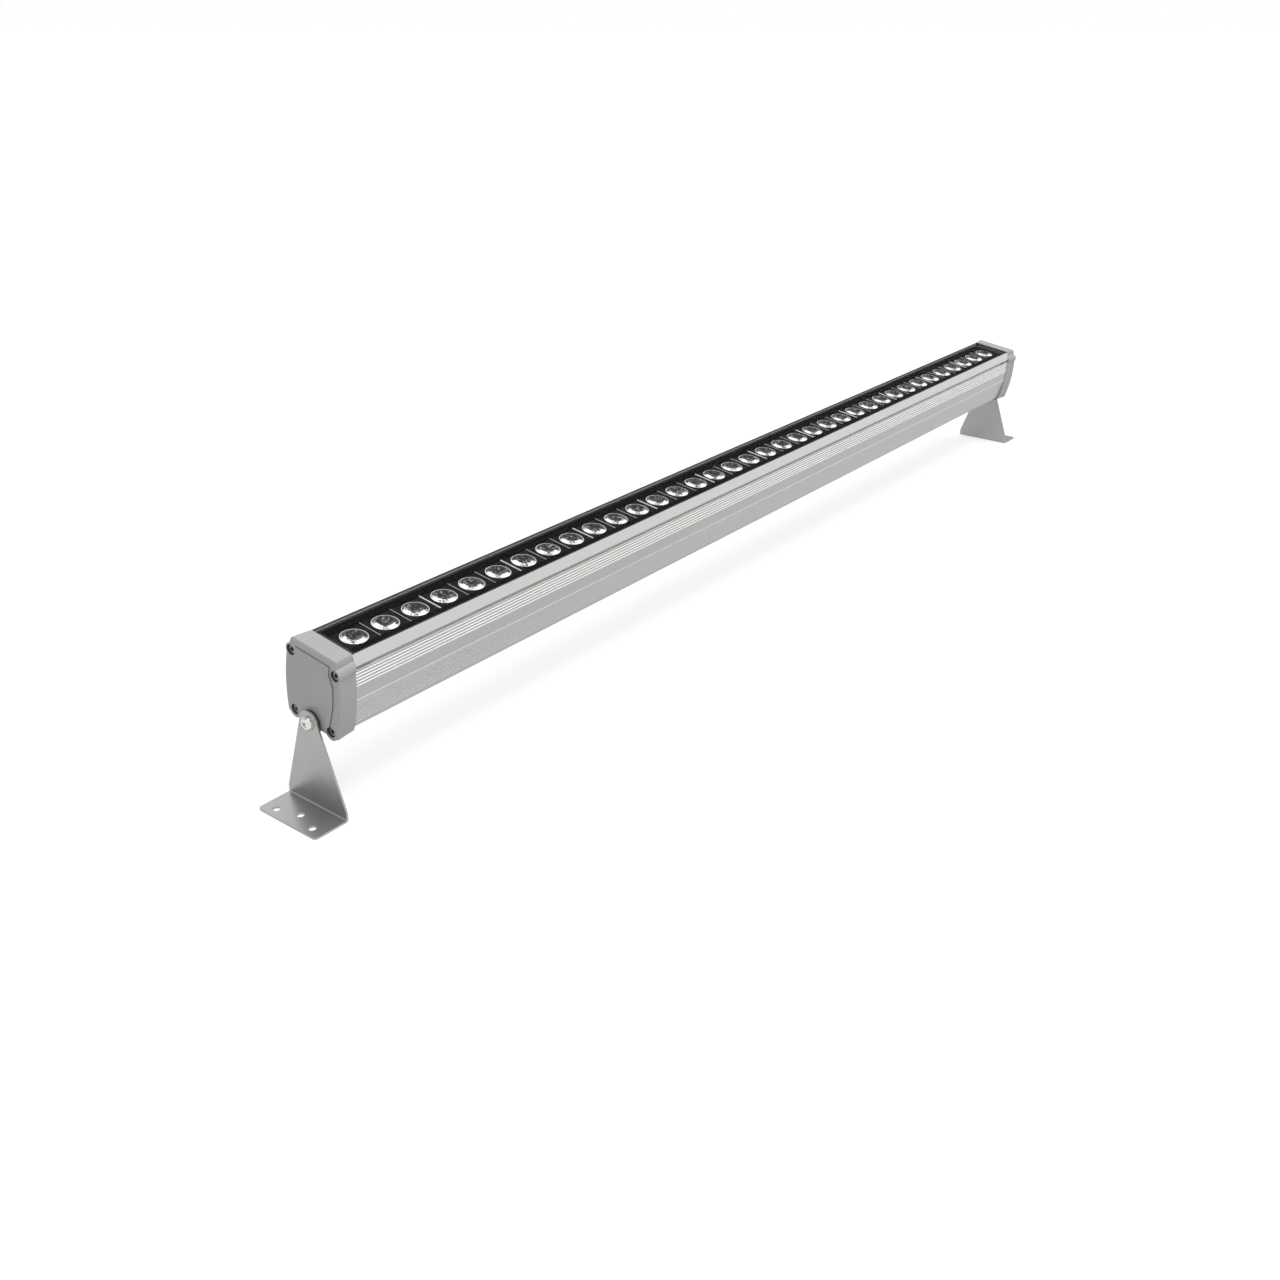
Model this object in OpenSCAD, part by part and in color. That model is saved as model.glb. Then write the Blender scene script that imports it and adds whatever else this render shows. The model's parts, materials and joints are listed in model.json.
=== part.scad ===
// Outdoor wall washer light: a long aluminium bar of narrow lens modules behind a glass
// cover, closed by two die-cast end caps that tilt between two bent sheet-steel brackets.
// Lengths are millimetres. X runs along the bar, Z is up, the floor is Z = 0, and the
// pivot line runs along X at pivot_height. The lamp is drawn upright about the pivot line
// and then leaned by rest_lean.

/* [Overall] */
// Distance between neighbouring light points along the bar
led_pitch = 27; // [26.5:0.1:28]
// Free length between the last lens module and the end cap
end_margin = 5.5; // [4:0.5:8]
// Height of the pivot line above the floor
pivot_height = 64.7; // [64:0.1:90]
// Lean of the lamp at rest, its top towards the viewer's side
rest_lean = 8; // [0:1:30]

/* [Housing section] */
// Height of the housing's top edge above the pivot line
top_z = 53.6; // [53.2:0.1:54.2]
// Half width of the housing at its top edge
top_half = 20.2; // [20:0.1:20.6]
// Half width at the open screw slots
shoulder_half = 23.1; // [22.9:0.1:23.4]
// Largest half width, at the smooth middle band
mid_half = 24.2; // [24:0.1:24.5]
// Half width at the bottom edge
bottom_half = 20.6; // [20.4:0.1:21]
// Depth of the bottom face below the pivot line
bottom_drop = 3.2; // [3:0.1:3.6]
// Height of the lower edge of the band with the upper ribs
upper_rib_end = 31.3; // [30.8:0.1:31.8]
// Height of the upper edge of the band with the lower ribs
lower_rib_start = 20.5; // [20:0.1:21]
// Spacing of the upper ribs
upper_rib_pitch = 2.3; // [2.1:0.1:2.4]
// Spacing of the lower ribs
lower_rib_pitch = 1.75; // [1.6:0.05:1.8]
// Depth of the grooves between the ribs
rib_depth = 0.7; // [0.3:0.1:0.8]
// Corner chamfer of the section
edge_chamfer = 1.0; // [0.4:0.1:1.2]
// Height of the underside of the inner web
web_bottom = 33.5; // [33:0.1:34]
// Thickness of the inner web under the circuit boards
web_t = 3; // [2.5:0.1:3.2]
// Side wall thickness of the lower chamber
wall_t = 2.2; // [1.8:0.1:2.4]
// Thickness of the floor of the lower chamber
floor_t = 2; // [1.6:0.1:2.2]
// Half width of the tray that holds the lens modules
tray_half = 17.2; // [17:0.1:17.4]
// Half width of the rebate that holds the glass
rebate_half = 19.3; // [19.2:0.1:19.4]
// Width of the open slot beside each upper screw channel
slot_w = 2.4; // [2:0.1:2.8]

/* [Glass and optics] */
// Thickness of the cover glass
glass_t = 2; // [1.8:0.1:2.4]
// Depth of the glass below the housing's top edge
glass_sink = 0.2; // [0.1:0.1:0.6]
// Thickness of the seal strip under the glass
seal_t = 0.5; // [0.4:0.1:0.6]
// Gap between the lens modules and the glass
lens_gap = 0.2; // [0.1:0.1:0.4]
// Diameter of one lens at its face
lens_d = 19.2; // [18:0.1:19.6]
// Diameter of one lens at its foot
lens_foot_d = 9.8; // [9:0.1:10.2]
// Width of the clear lens plate across the bar
plate_w = 21.4; // [20.6:0.1:22]
// Thickness of the clear lens plate
plate_t = 1.2; // [1:0.1:1.4]
// Depth of the dish in the face of each lens
dish_d = 0.8; // [0.4:0.1:0.9]
// Depth of the pocket in the foot of each lens
pocket_d = 3; // [2:0.1:3.5]
// Width of the groove between two lens cells
cell_groove_w = 0.7; // [0.4:0.1:1]
// Depth of the groove between two lens cells
cell_groove_d = 0.4; // [0.2:0.1:0.6]

/* [Circuit boards] */
// Thickness of the heat pad under the boards
pad_t = 0.5; // [0.3:0.1:0.6]
// Thickness of the circuit boards
board_t = 1.6; // [1.4:0.1:1.8]
// Width of the circuit boards
board_w = 23; // [22:0.5:24]
// Side length of one light-emitting package
led_w = 3.5; // [3:0.1:4]
// Height of the package below its dome
led_h = 0.8; // [0.6:0.1:1]
// Shank diameter of the board screws
board_screw_d = 3; // [2.5:0.1:3]
// Head diameter of the board screws
board_head_d = 5.5; // [5:0.1:5.8]
// Head height of the board screws
board_head_h = 1.8; // [1.4:0.1:2]

/* [End caps] */
// Depth of an end cap along the bar
cap_depth = 15.9; // [15:0.1:17]
// Height of the raised front panel
panel_t = 0.6; // [0.5:0.1:1]
// Height of the sloped band above the front panel
panel_drop = 5; // [4.6:0.1:5.6]
// Setback of the top edge behind the front panel
ledge_setback = 1.9; // [1.6:0.1:2.4]
// Largest half width of an end cap
cap_half = 26.9; // [26.4:0.1:27.2]
// Half width of an end cap where it meets the housing
cap_rear_half = 24.9; // [24.8:0.1:25.6]
// Radius of the bowed sides of an end cap
cap_side_r = 135; // [120:1:160]
// Height of the widest point of an end cap above the pivot line
cap_wide_z = 23; // [21:0.5:25]
// Height of an end cap's top above the pivot line
cap_top_z = 54.4; // [54.2:0.1:55.5]
// Half width of the narrow top part of an end cap
cap_top_half = 22; // [21.4:0.1:22.2]
// Sideways place of the upper cap screws
upper_screw_y = 21.4; // [21.2:0.1:21.5]
// Height of the upper cap screws above the pivot line
upper_screw_z = 44.6; // [44.2:0.1:44.9]
// Sideways place of the lower cap screws
lower_screw_y = 17.9; // [17.7:0.1:18]
// Height of the lower cap screws above the pivot line
lower_screw_z = -0.1; // [-0.2:0.1:0.1]
// Radius of the upper screw bosses
upper_boss_r = 5; // [4.8:0.1:5.2]
// Radius of the lower screw bosses
lower_boss_r = 6; // [5.6:0.1:6.2]
// Radius of the boss around the pivot
pivot_boss_r = 8.5; // [8.2:0.1:8.8]
// Shank diameter of the cap screws
cap_screw_d = 3.6; // [3.4:0.1:3.6]
// Head diameter of the cap screws
cap_head_d = 6.2; // [6:0.1:6.8]
// Head height of the cap screws
cap_head_h = 3.8; // [3.4:0.1:4]
// Radius of the screw counterbores
counterbore_r = 3.8; // [3.6:0.1:3.9]
// Depth of the screw counterbores
counterbore_depth = 5.6; // [5.2:0.1:5.8]
// Grip of the cap screws in the housing
cap_screw_grip = 12; // [10:1:16]
// Thickness of the seal washers under the cap screws
screw_seal_t = 0.6; // [0.5:0.1:0.8]
// Thickness of the cap gaskets
gasket_t = 1.5; // [1.2:0.1:1.8]
// Width of the gasket ring
gasket_w = 2.2; // [2:0.1:2.4]
// Clear distance of the gasket from the screw holes
gasket_clear = 2.5; // [2.2:0.1:2.6]
// Half width of the gasket ring beside the tray
gasket_top_half = 18.4; // [18.2:0.1:18.5]
// Half width of the gasket ring beside the lower chamber
gasket_mid_half = 22.4; // [22:0.1:22.6]
// Wall left around the wiring space
space_wall = 1.7; // [1.5:0.1:2]
// Corner chamfer of the wiring space
space_chamfer = 2; // [1:0.1:3]
// Depth of the wiring space in an end cap
cap_space_depth = 9; // [8:0.1:9.4]

/* [Pivot and brackets] */
// Thread diameter of the pivot screws
pivot_screw_d = 6; // [5:0.1:6]
// Head diameter of the pivot screws
pivot_head_d = 9.8; // [9.4:0.1:10.4]
// Head height of the pivot screws
pivot_head_h = 2.8; // [2.4:0.1:3.4]
// Depth of the threaded pivot holes
pivot_hole_depth = 12.5; // [12:0.1:12.9]
// Outer diameter of the pivot washers
pivot_washer_d = 10.4; // [10.2:0.1:11.4]
// Thickness of the pivot washers
pivot_washer_t = 0.5; // [0.4:0.1:1]
// Outer diameter of the rubber spacers
spacer_d = 16; // [14:0.1:16.6]
// Thickness of the rubber spacers
spacer_t = 2.1; // [1.8:0.1:3]
// Sheet thickness of the brackets
sheet_t = 1.5; // [1.4:0.1:2]
// Radius of the rounded bracket top
bracket_top_r = 8.9; // [8.7:0.1:9.4]
// Half width of the bracket at its foot
foot_half = 29.6; // [29:0.2:32]
// Height of the straight lower edges of the bracket plate
bracket_side_h = 6.7; // [6.4:0.1:9]
// Reach of the foot from the inner face of the plate
foot_reach = 27.9; // [26.4:0.1:30]
// Inner radius of the bend
bend_r = 1; // [0.8:0.1:1.5]
// Corner radius of the foot
foot_corner_r = 3; // [2:0.1:4]
// Diameter of the fixing holes
foot_hole_d = 5.3; // [4.5:0.1:6]
// Sideways place of the outer pair of fixing holes
foot_hole_y = 18.5; // [17:0.1:20]
// Distance of the outer pair of fixing holes from the plate
foot_hole_x = 21; // [19:0.1:21.4]
// Distance of the middle fixing hole from the plate
foot_mid_x = 15.8; // [14:0.1:16]

/* [Driver and wiring] */
// Width of the driver case
driver_w = 28; // [24:1:34]
// Height of the driver case without its lid
driver_h = 24; // [22:0.5:25]
// Length of the driver case
driver_len = 240; // [200:5:260]
// Free length between the driver and the end of the housing
driver_gap = 81.5; // [60:0.5:100]
// Wall thickness of the driver case
driver_wall = 1.5; // [1.2:0.1:2]
// Width of the two rails under the driver
rail_w = 3; // [2:0.5:4]
// Thickness of the adhesive pad under the driver
driver_pad_t = 0.8; // [0.6:0.1:1]
// Height of the stand-offs for the driver board
standoff_h = 4; // [3:0.5:5]
// Free length of the leads beside the driver
lead_run = 30; // [26:1:36]
// Diameter of the insulated leads
lead_d = 2.2; // [1.8:0.1:2.4]
// Height of the terminal block
terminal_h = 16; // [14:0.5:18]
// Length of the terminal block along the bar
terminal_len = 22; // [18:1:24]

/* [Cable gland] */
// Height of the gland above the pivot line
gland_z = 23; // [22.5:0.1:23.4]
// Thread diameter of the gland
gland_thread_d = 12; // [10:0.5:12]
// Cable bore of the gland
gland_bore_d = 6.5; // [5:0.1:7]
// Width across flats of the gland body and lock nut
gland_flats = 16; // [15:0.5:16]
// Height of the gland's hexagon
gland_hex_h = 5; // [4:0.5:6]
// Height of the gland's clamping nut
gland_nut_h = 12; // [10:0.5:12]
// Height of the lock nut inside the cap
locknut_h = 3.5; // [3:0.1:4]
// Thickness of the gland's sealing ring
gland_seal_t = 1; // [0.8:0.1:1.4]

/* [Hidden] */
$fn = 64;
// number of lens modules, light points in a module and circuit boards
module_count = 12;
leds_per_module = 3;
board_count = 3;
modules_per_board = module_count / board_count;
// clearances between neighbouring pieces
thread_gap = 0.1;
fit_gap = 0.2;
free_gap = 0.3;
// overshoot of cutting bodies
cut = 1;
module_len = leds_per_module * led_pitch;
lens_len = module_count * module_len;
board_len = lens_len / board_count;
led_count = module_count * leds_per_module;
bar_len = lens_len + 2 * end_margin;
half_bar = bar_len / 2;
cap_face = half_bar + cap_depth;
body_face = cap_face - panel_t;
plate_in = cap_face + spacer_t;
plate_out = plate_in + sheet_t;
washer_out = plate_out + pivot_washer_t;
foot_tip = plate_in + foot_reach;
bend_out_r = bend_r + sheet_t;
web_top = web_bottom + web_t;
glass_top = top_z - glass_sink;
glass_bottom = glass_top - glass_t;
rebate_z = glass_bottom - seal_t;
lens_top = glass_bottom - lens_gap;
lens_seat = lens_top - plate_t;
board_bottom = web_top + pad_t;
board_top = board_bottom + board_t;
holder_half = tray_half - fit_gap;
floor_top = floor_t - bottom_drop;
slot_top = upper_screw_z + slot_w / 2;
slot_bottom = upper_screw_z - slot_w / 2;
bore_r = cap_screw_d / 2 + thread_gap;
screw_hole_r = cap_screw_d / 2 + 2 * fit_gap;
// half widths of the front panel from its top down, as shares of the largest half width
panel_shares = [0.61, 0.655, 0.74, 0.647, 0.573];
upper_rib_n = 5;
lower_rib_n = 11;
groove_u = 0.74 * upper_rib_pitch;
groove_l = 0.7 * lower_rib_pitch;
upper_rib_first = upper_rib_end + (upper_rib_n - 0.5) * upper_rib_pitch;
lower_rib_first = lower_rib_start - lower_rib_pitch / 2;
low_bend_z = edge_chamfer - bottom_drop;
channel_z = board_top + 1.64 * lead_d;
channel_y = 0.82 * board_w / 2;
lens_foot_z = board_top + led_h + led_w / 4;
pivot_hole_r = pivot_screw_d / 2 + thread_gap;
boss_wall = 0.65 * wall_t;
rail_top = lower_screw_z + bore_r + boss_wall + fit_gap;
driver_floor = rail_top + driver_pad_t;
driver_board_z = driver_floor + driver_wall + standoff_h;
lead_z = driver_board_z + board_t + 1.5 * lead_d;
driver_end = half_bar - driver_gap;
driver_x = driver_end - driver_len / 2;
driver_start = driver_end - driver_len;
lead_turn_x = driver_start - lead_run;
lead_y = tray_half - 1.25 * lead_d;
terminal_start = driver_end + lead_run;

// the sub-part to draw, or all of them

// half width of the housing at a height above the pivot line
function side_y(z) = lookup(z, [
  [low_bend_z, bottom_half],
  [lower_rib_start, mid_half],
  [upper_rib_end, mid_half],
  [slot_bottom, shoulder_half],
  [slot_top, shoulder_half],
  [top_z, top_half]
]);

// three corners of one groove in the side of the housing, from its upper edge down
function groove(z, w) = [
  [side_y(z + w / 2), z + w / 2],
  [side_y(z) - rib_depth, z],
  [side_y(z - w / 2), z - w / 2]
];

function upper_grooves() = [
  for (i = [0 : upper_rib_n - 1])
    for (p = groove(upper_rib_first - i * upper_rib_pitch, groove_u)) p
];

function lower_grooves() = [
  for (i = [0 : lower_rib_n - 1])
    for (p = groove(lower_rib_first - i * lower_rib_pitch, groove_l)) p
];

// the same points on the other side, in the opposite order
function mirrored(pts) = [
  for (i = [len(pts) - 1 : -1 : 0]) [-pts[i][0], pts[i][1]]
];

function both(pts) = concat(pts, mirrored(pts));

function housing_side() = concat(
  [[top_half, top_z], [shoulder_half, slot_top], [shoulder_half, slot_bottom]],
  upper_grooves(),
  [[mid_half, upper_rib_end], [mid_half, lower_rib_start]],
  lower_grooves(),
  [[bottom_half, low_bend_z], [bottom_half - edge_chamfer, -bottom_drop]]
);

function gasket_side(d) = [
  [gasket_top_half - d, glass_top - d / 2],
  [gasket_top_half - d, slot_bottom - gasket_clear - d / 3],
  [gasket_mid_half - d, web_bottom - d / 4],
  [gasket_mid_half - d, lower_rib_start + d / 8],
  [lower_screw_y + gasket_clear / 2 - d, lower_screw_z + lower_boss_r + 0.9 * d],
  [lower_screw_y - screw_hole_r - gasket_clear - d, lower_screw_z + screw_hole_r + gasket_clear + 0.9 * d],
  [lower_screw_y - screw_hole_r - gasket_clear - d, 0.4 * floor_t - bottom_drop + 1.3 * d]
];

// turns a drawing in the YZ plane into a bar along X from x0 over the length l
module along_x(x0, l) {
  translate([x0, 0, 0])
    rotate([90, 0, 90])
      linear_extrude(height = l)
        children();
}

// a round bar along X
module rod_x(x0, l, r) {
  translate([x0, 0, 0])
    rotate([0, 90, 0])
      cylinder(h = l, r = r);
}

// puts the lamp on its pivot line at the rest lean
module lean() {
  translate([0, 0, pivot_height])
    rotate([rest_lean, 0, 0])
      children();
}

// one copy at each end of the bar, or the wanted end only
module at_end(side) {
  if (side > 0) {
    children();
  } else {
    mirror([1, 0, 0])
      children();
  }
}

module cap_screw_places() {
  for (s = [-1, 1]) {
    translate([0, s * upper_screw_y, upper_screw_z])
      children();
    translate([0, s * lower_screw_y, lower_screw_z])
      children();
  }
}

// brackets, drawn for the right-hand end

module plate_outline() {
  circle(r = bracket_top_r);
  polygon(both([
    [0.93 * bracket_top_r, 0.25 * bracket_top_r],
    [foot_half, bracket_side_h - pivot_height],
    [foot_half, bend_out_r - pivot_height]
  ]));
}

module foot_outline() {
  x0 = plate_in + bend_out_r;
  inner = foot_tip - foot_corner_r;
  translate([x0, -foot_half])
    square([inner - x0, 2 * foot_half]);
  translate([x0, foot_corner_r - foot_half])
    square([foot_tip - x0, 2 * (foot_half - foot_corner_r)]);
  for (s = [-1, 1]) {
    translate([inner, s * (foot_half - foot_corner_r)])
      circle(r = foot_corner_r);
  }
}

module bend() {
  c = bend_out_r;
  translate([plate_in + c, foot_half, c])
    rotate([90, 0, 0])
      linear_extrude(height = 2 * foot_half)
        difference() {
          circle(r = bend_out_r);
          circle(r = bend_r);
          translate([0, -2 * c])
            square([2 * c, 4 * c]);
          translate([-2 * c, 0])
            square([4 * c, 2 * c]);
        }
}

module bracket() {
  difference() {
    union() {
      translate([0, 0, pivot_height])
        along_x(plate_in, sheet_t)
          plate_outline();
      bend();
      linear_extrude(height = sheet_t)
        foot_outline();
    }
    translate([0, 0, pivot_height])
      rod_x(plate_in - cut, sheet_t + 2 * cut, pivot_screw_d / 2 + thread_gap);
    for (s = [-1, 1]) {
      translate([plate_in + foot_hole_x, s * foot_hole_y, -cut])
        cylinder(h = sheet_t + 2 * cut, r = foot_hole_d / 2);
    }
    translate([plate_in + foot_mid_x, 0, -cut])
      cylinder(h = sheet_t + 2 * cut, r = foot_hole_d / 2);
  }
}

module bracket_left() {
  color([0.72, 0.72, 0.73])
    at_end(-1)
      bracket();
}

module bracket_right() {
  color([0.72, 0.72, 0.73])
    at_end(1)
      bracket();
}

// pivot hardware

module pivot_screw() {
  tip = cap_face - 0.92 * pivot_hole_depth;
  r = pivot_head_d / 2;
  dome = 0.42 * pivot_head_h;
  difference() {
    union() {
      rod_x(tip, washer_out - tip, pivot_screw_d / 2);
      translate([washer_out, 0, 0])
        rotate([0, 90, 0])
          rotate_extrude()
            polygon([
              [0, 0],
              [r, 0],
              [r, pivot_head_h - dome],
              [0.86 * r, pivot_head_h - 0.45 * dome],
              [0.6 * r, pivot_head_h],
              [0, pivot_head_h]
            ]);
    }
    for (t = [0, 90]) {
      rotate([t, 0, 0])
        translate([washer_out + 0.4 * pivot_head_h, -0.5 * r, -0.09 * r])
          cube([pivot_head_h, r, 0.18 * r]);
    }
  }
}

module pivot_screws() {
  color([0.78, 0.77, 0.75])
    lean()
      for (s = [-1, 1]) {
        at_end(s)
          pivot_screw();
      }
}

module pivot_washers() {
  color([0.7, 0.7, 0.7])
    lean()
      for (s = [-1, 1]) {
        at_end(s)
          difference() {
            rod_x(plate_out, pivot_washer_t, pivot_washer_d / 2);
            rod_x(plate_out - cut, pivot_washer_t + 2 * cut, pivot_screw_d / 2 + thread_gap);
          }
      }
}

module pivot_spacers() {
  color([0.08, 0.08, 0.08])
    lean()
      for (s = [-1, 1]) {
        at_end(s)
          difference() {
            rod_x(cap_face, spacer_t, spacer_d / 2);
            rod_x(cap_face - cut, spacer_t + 2 * cut, pivot_screw_d / 2 + thread_gap);
          }
      }
}

// housing

module chamber_outline() {
  in_top = side_y(web_bottom) - wall_t - rib_depth;
  in_low = side_y(floor_top) - wall_t - 0.2 * rib_depth;
  difference() {
    polygon(both([
      [in_top, web_bottom],
      [mid_half - wall_t, upper_rib_end],
      [mid_half - wall_t, lower_rib_start],
      [in_low, floor_top]
    ]));
    for (s = [-1, 1]) {
      translate([s * lower_screw_y, lower_screw_z])
        circle(r = bore_r + boss_wall);
      translate([0.3 * s * driver_w - rail_w / 2, floor_top - cut])
        square([rail_w, rail_top - floor_top + cut]);
    }
  }
}

module tray_outline() {
  polygon(both([
    [rebate_half, top_z + cut],
    [rebate_half, rebate_z],
    [tray_half, rebate_z],
    [tray_half, web_top]
  ]));
}

module housing_outline() {
  difference() {
    polygon(both(housing_side()));
    tray_outline();
    chamber_outline();
    for (s = [-1, 1]) {
      translate([s * upper_screw_y, upper_screw_z])
        circle(r = bore_r);
      translate([s * (upper_screw_y + bore_r), upper_screw_z])
        square([2 * bore_r, slot_w], center = true);
      translate([s * lower_screw_y, lower_screw_z])
        circle(r = bore_r);
    }
  }
}

module housing_profile() {
  color([0.78, 0.79, 0.8])
    lean()
      difference() {
        along_x(-half_bar, bar_len)
          housing_outline();
        for (m = [0 : module_count - 1]) {
          translate([module_x(m) - led_pitch / 2, 0, web_bottom - cut])
            cylinder(h = web_t + 2 * cut, r = board_screw_d / 2 + thread_gap);
        }
        for (s = [-1, 1]) {
          translate([lead_turn_x, s * lead_y, web_bottom - cut])
            cylinder(h = web_t + 2 * cut, r = lead_d / 2 + free_gap);
        }
      }
}

// end caps, drawn for the right-hand end

module cap_outline() {
  intersection() {
    translate([cap_half - cap_side_r, cap_wide_z])
      circle(r = cap_side_r, $fn = 180);
    translate([cap_side_r - cap_half, cap_wide_z])
      circle(r = cap_side_r, $fn = 180);
    translate([-cap_half, -bottom_drop])
      square([2 * cap_half, upper_screw_z + bottom_drop]);
  }
  polygon(both([
    [cap_top_half - edge_chamfer, cap_top_z],
    [cap_top_half, cap_top_z - edge_chamfer],
    [cap_top_half + edge_chamfer, upper_screw_z],
    [0, upper_screw_z - cut]
  ]));
  for (s = [-1, 1]) {
    translate([s * upper_screw_y, upper_screw_z])
      circle(r = upper_boss_r);
    translate([s * lower_screw_y, lower_screw_z])
      circle(r = lower_boss_r);
  }
  circle(r = pivot_boss_r);
}

module panel_outline() {
  difference() {
    polygon(both([
      [panel_shares[0] * cap_half, cap_top_z - panel_drop],
      [panel_shares[1] * cap_half, upper_screw_z - upper_boss_r],
      [panel_shares[2] * cap_half, upper_screw_z - 2 * upper_boss_r],
      [panel_shares[2] * cap_half, lower_rib_start],
      [panel_shares[3] * cap_half, lower_screw_z + 1.3 * lower_boss_r],
      [panel_shares[4] * cap_half, -bottom_drop]
    ]));
    for (s = [-1, 1]) {
      translate([s * upper_screw_y, upper_screw_z])
        circle(r = upper_boss_r + panel_t);
    }
  }
  circle(r = pivot_boss_r - free_gap);
}

module gasket_outline() {
  difference() {
    polygon(both(gasket_side(0)));
    polygon(both(gasket_side(gasket_w)));
  }
}

module space_outline() {
  half = lower_screw_y - screw_hole_r - space_wall;
  low = pivot_boss_r + space_wall;
  high = web_bottom - space_wall;
  polygon(both([
    [half - space_chamfer, high],
    [half, high - space_chamfer],
    [half, low + space_chamfer],
    [half - space_chamfer, low]
  ]));
}

// the body widens evenly from the housing to the front
module cap_body() {
  widening = cap_half / cap_rear_half;
  translate([half_bar, 0, 0])
    rotate([90, 0, 90])
      linear_extrude(height = cap_depth - panel_t, scale = [widening, 1], slices = 1)
        scale([1 / widening, 1])
          cap_outline();
}

// what the sloped band above the front panel leaves away
module band_cut() {
  front = cap_face + cut;
  translate([0, cap_half, 0])
    rotate([90, 0, 0])
      linear_extrude(height = 2 * cap_half)
        polygon([
          [cap_face - ledge_setback, cap_top_z + cut],
          [cap_face - ledge_setback, cap_top_z],
          [cap_face, cap_top_z - panel_drop],
          [front, cap_top_z - panel_drop],
          [front, cap_top_z + cut]
        ]);
}

module cap_solid() {
  difference() {
    union() {
      cap_body();
      along_x(half_bar + cap_depth / 2, cap_depth / 2)
        panel_outline();
    }
    band_cut();
    along_x(half_bar - cut, gasket_t + cut)
      gasket_outline();
    along_x(half_bar - cut, cap_space_depth + cut)
      space_outline();
    cap_screw_places() {
      rod_x(half_bar - cut, cap_depth + 2 * cut, screw_hole_r);
    }
    cap_screw_places() {
      rod_x(body_face - counterbore_depth, counterbore_depth + 2 * cut, counterbore_r);
    }
    rod_x(cap_face - pivot_hole_depth, pivot_hole_depth + cut, pivot_hole_r);
  }
}

module end_cap_left() {
  color([0.62, 0.62, 0.64])
    lean()
      at_end(-1)
        cap_solid();
}

module end_cap_right() {
  color([0.62, 0.62, 0.64])
    lean()
      difference() {
        cap_solid();
        translate([0, 0, gland_z])
          rod_x(half_bar, cap_depth + cut, gland_thread_d / 2 + thread_gap);
      }
}

module cap_gasket(side) {
  color([0.1, 0.1, 0.1])
    lean()
      at_end(side)
        along_x(half_bar, gasket_t)
          gasket_outline();
}

module cap_gasket_left() {
  cap_gasket(-1);
}

module cap_gasket_right() {
  cap_gasket(1);
}

module cap_screw() {
  seat = body_face - counterbore_depth + screw_seal_t;
  difference() {
    union() {
      rod_x(half_bar - cap_screw_grip, seat - half_bar + cap_screw_grip, cap_screw_d / 2);
      rod_x(seat, cap_head_h, cap_head_d / 2);
    }
    translate([seat + 0.4 * cap_head_h, 0, 0])
      rotate([0, 90, 0])
        cylinder(h = cap_head_h, r = 0.26 * cap_head_d, $fn = 6);
  }
}

module cap_screws() {
  color([0.35, 0.35, 0.36])
    lean()
      for (s = [-1, 1]) {
        at_end(s)
          cap_screw_places() {
            cap_screw();
          }
      }
}

module cap_screw_seals() {
  color([0.85, 0.85, 0.82])
    lean()
      for (s = [-1, 1]) {
        at_end(s)
          cap_screw_places() {
            difference() {
              rod_x(body_face - counterbore_depth, screw_seal_t, cap_head_d / 2);
              rod_x(body_face - counterbore_depth - cut, screw_seal_t + 2 * cut,
                cap_screw_d / 2 + thread_gap);
            }
          }
      }
}

// glass and its seals

module cover_glass() {
  l = bar_len - 2 * fit_gap;
  w = 2 * (rebate_half - fit_gap);
  color([0.85, 0.9, 0.92, 0.35])
    lean()
      translate([-l / 2, -w / 2, glass_bottom])
        cube([l, w, glass_t]);
}

module glass_seal(side) {
  l = bar_len - 2 * fit_gap;
  w = rebate_half - tray_half - fit_gap;
  y0 = side > 0 ? tray_half : -tray_half - w;
  color([0.06, 0.06, 0.06])
    lean()
      translate([-l / 2, y0, rebate_z])
        cube([l, w, seal_t]);
}

module glass_seal_front() {
  glass_seal(-1);
}

module glass_seal_back() {
  glass_seal(1);
}

module tray_plug(side) {
  color([0.05, 0.05, 0.05])
    lean()
      at_end(side)
        translate([lens_len / 2 + fit_gap, -holder_half, web_top])
          cube([end_margin - 2 * fit_gap, 2 * holder_half, lens_top - web_top]);
}

module tray_plug_left() {
  tray_plug(-1);
}

module tray_plug_right() {
  tray_plug(1);
}

// lens modules

function module_x(m) = (m - (module_count - 1) / 2) * module_len;

function led_x(i) = (i - (leds_per_module - 1) / 2) * led_pitch;

module lens_cone(gap) {
  cylinder(h = lens_seat - lens_foot_z, r1 = lens_foot_d / 2 + gap, r2 = lens_d / 2 + gap);
}

module lens_holder(m) {
  l = module_len - free_gap;
  w = 2 * holder_half;
  color([0.04, 0.04, 0.045])
    lean()
      translate([module_x(m), 0, 0])
        difference() {
          union() {
            translate([-l / 2, -holder_half, channel_z])
              cube([l, w, lens_top - channel_z]);
            translate([-l / 2, -channel_y, board_top])
              cube([l, 2 * channel_y, channel_z - board_top]);
          }
          translate([-module_len / 2, -plate_w / 2 - fit_gap, lens_seat])
            cube([module_len, plate_w + 2 * fit_gap, plate_t + cut]);
          for (i = [0 : leds_per_module - 1]) {
            translate([led_x(i), 0, lens_foot_z])
              lens_cone(fit_gap);
            translate([led_x(i), 0, board_top - cut])
              cylinder(h = lens_foot_z - board_top + 2 * cut, r = lens_foot_d / 2 + fit_gap);
          }
          translate([-led_pitch / 2, 0, board_top - cut])
            cylinder(h = board_head_h + fit_gap + cut, r = board_head_d / 2 + free_gap);
        }
}

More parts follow.
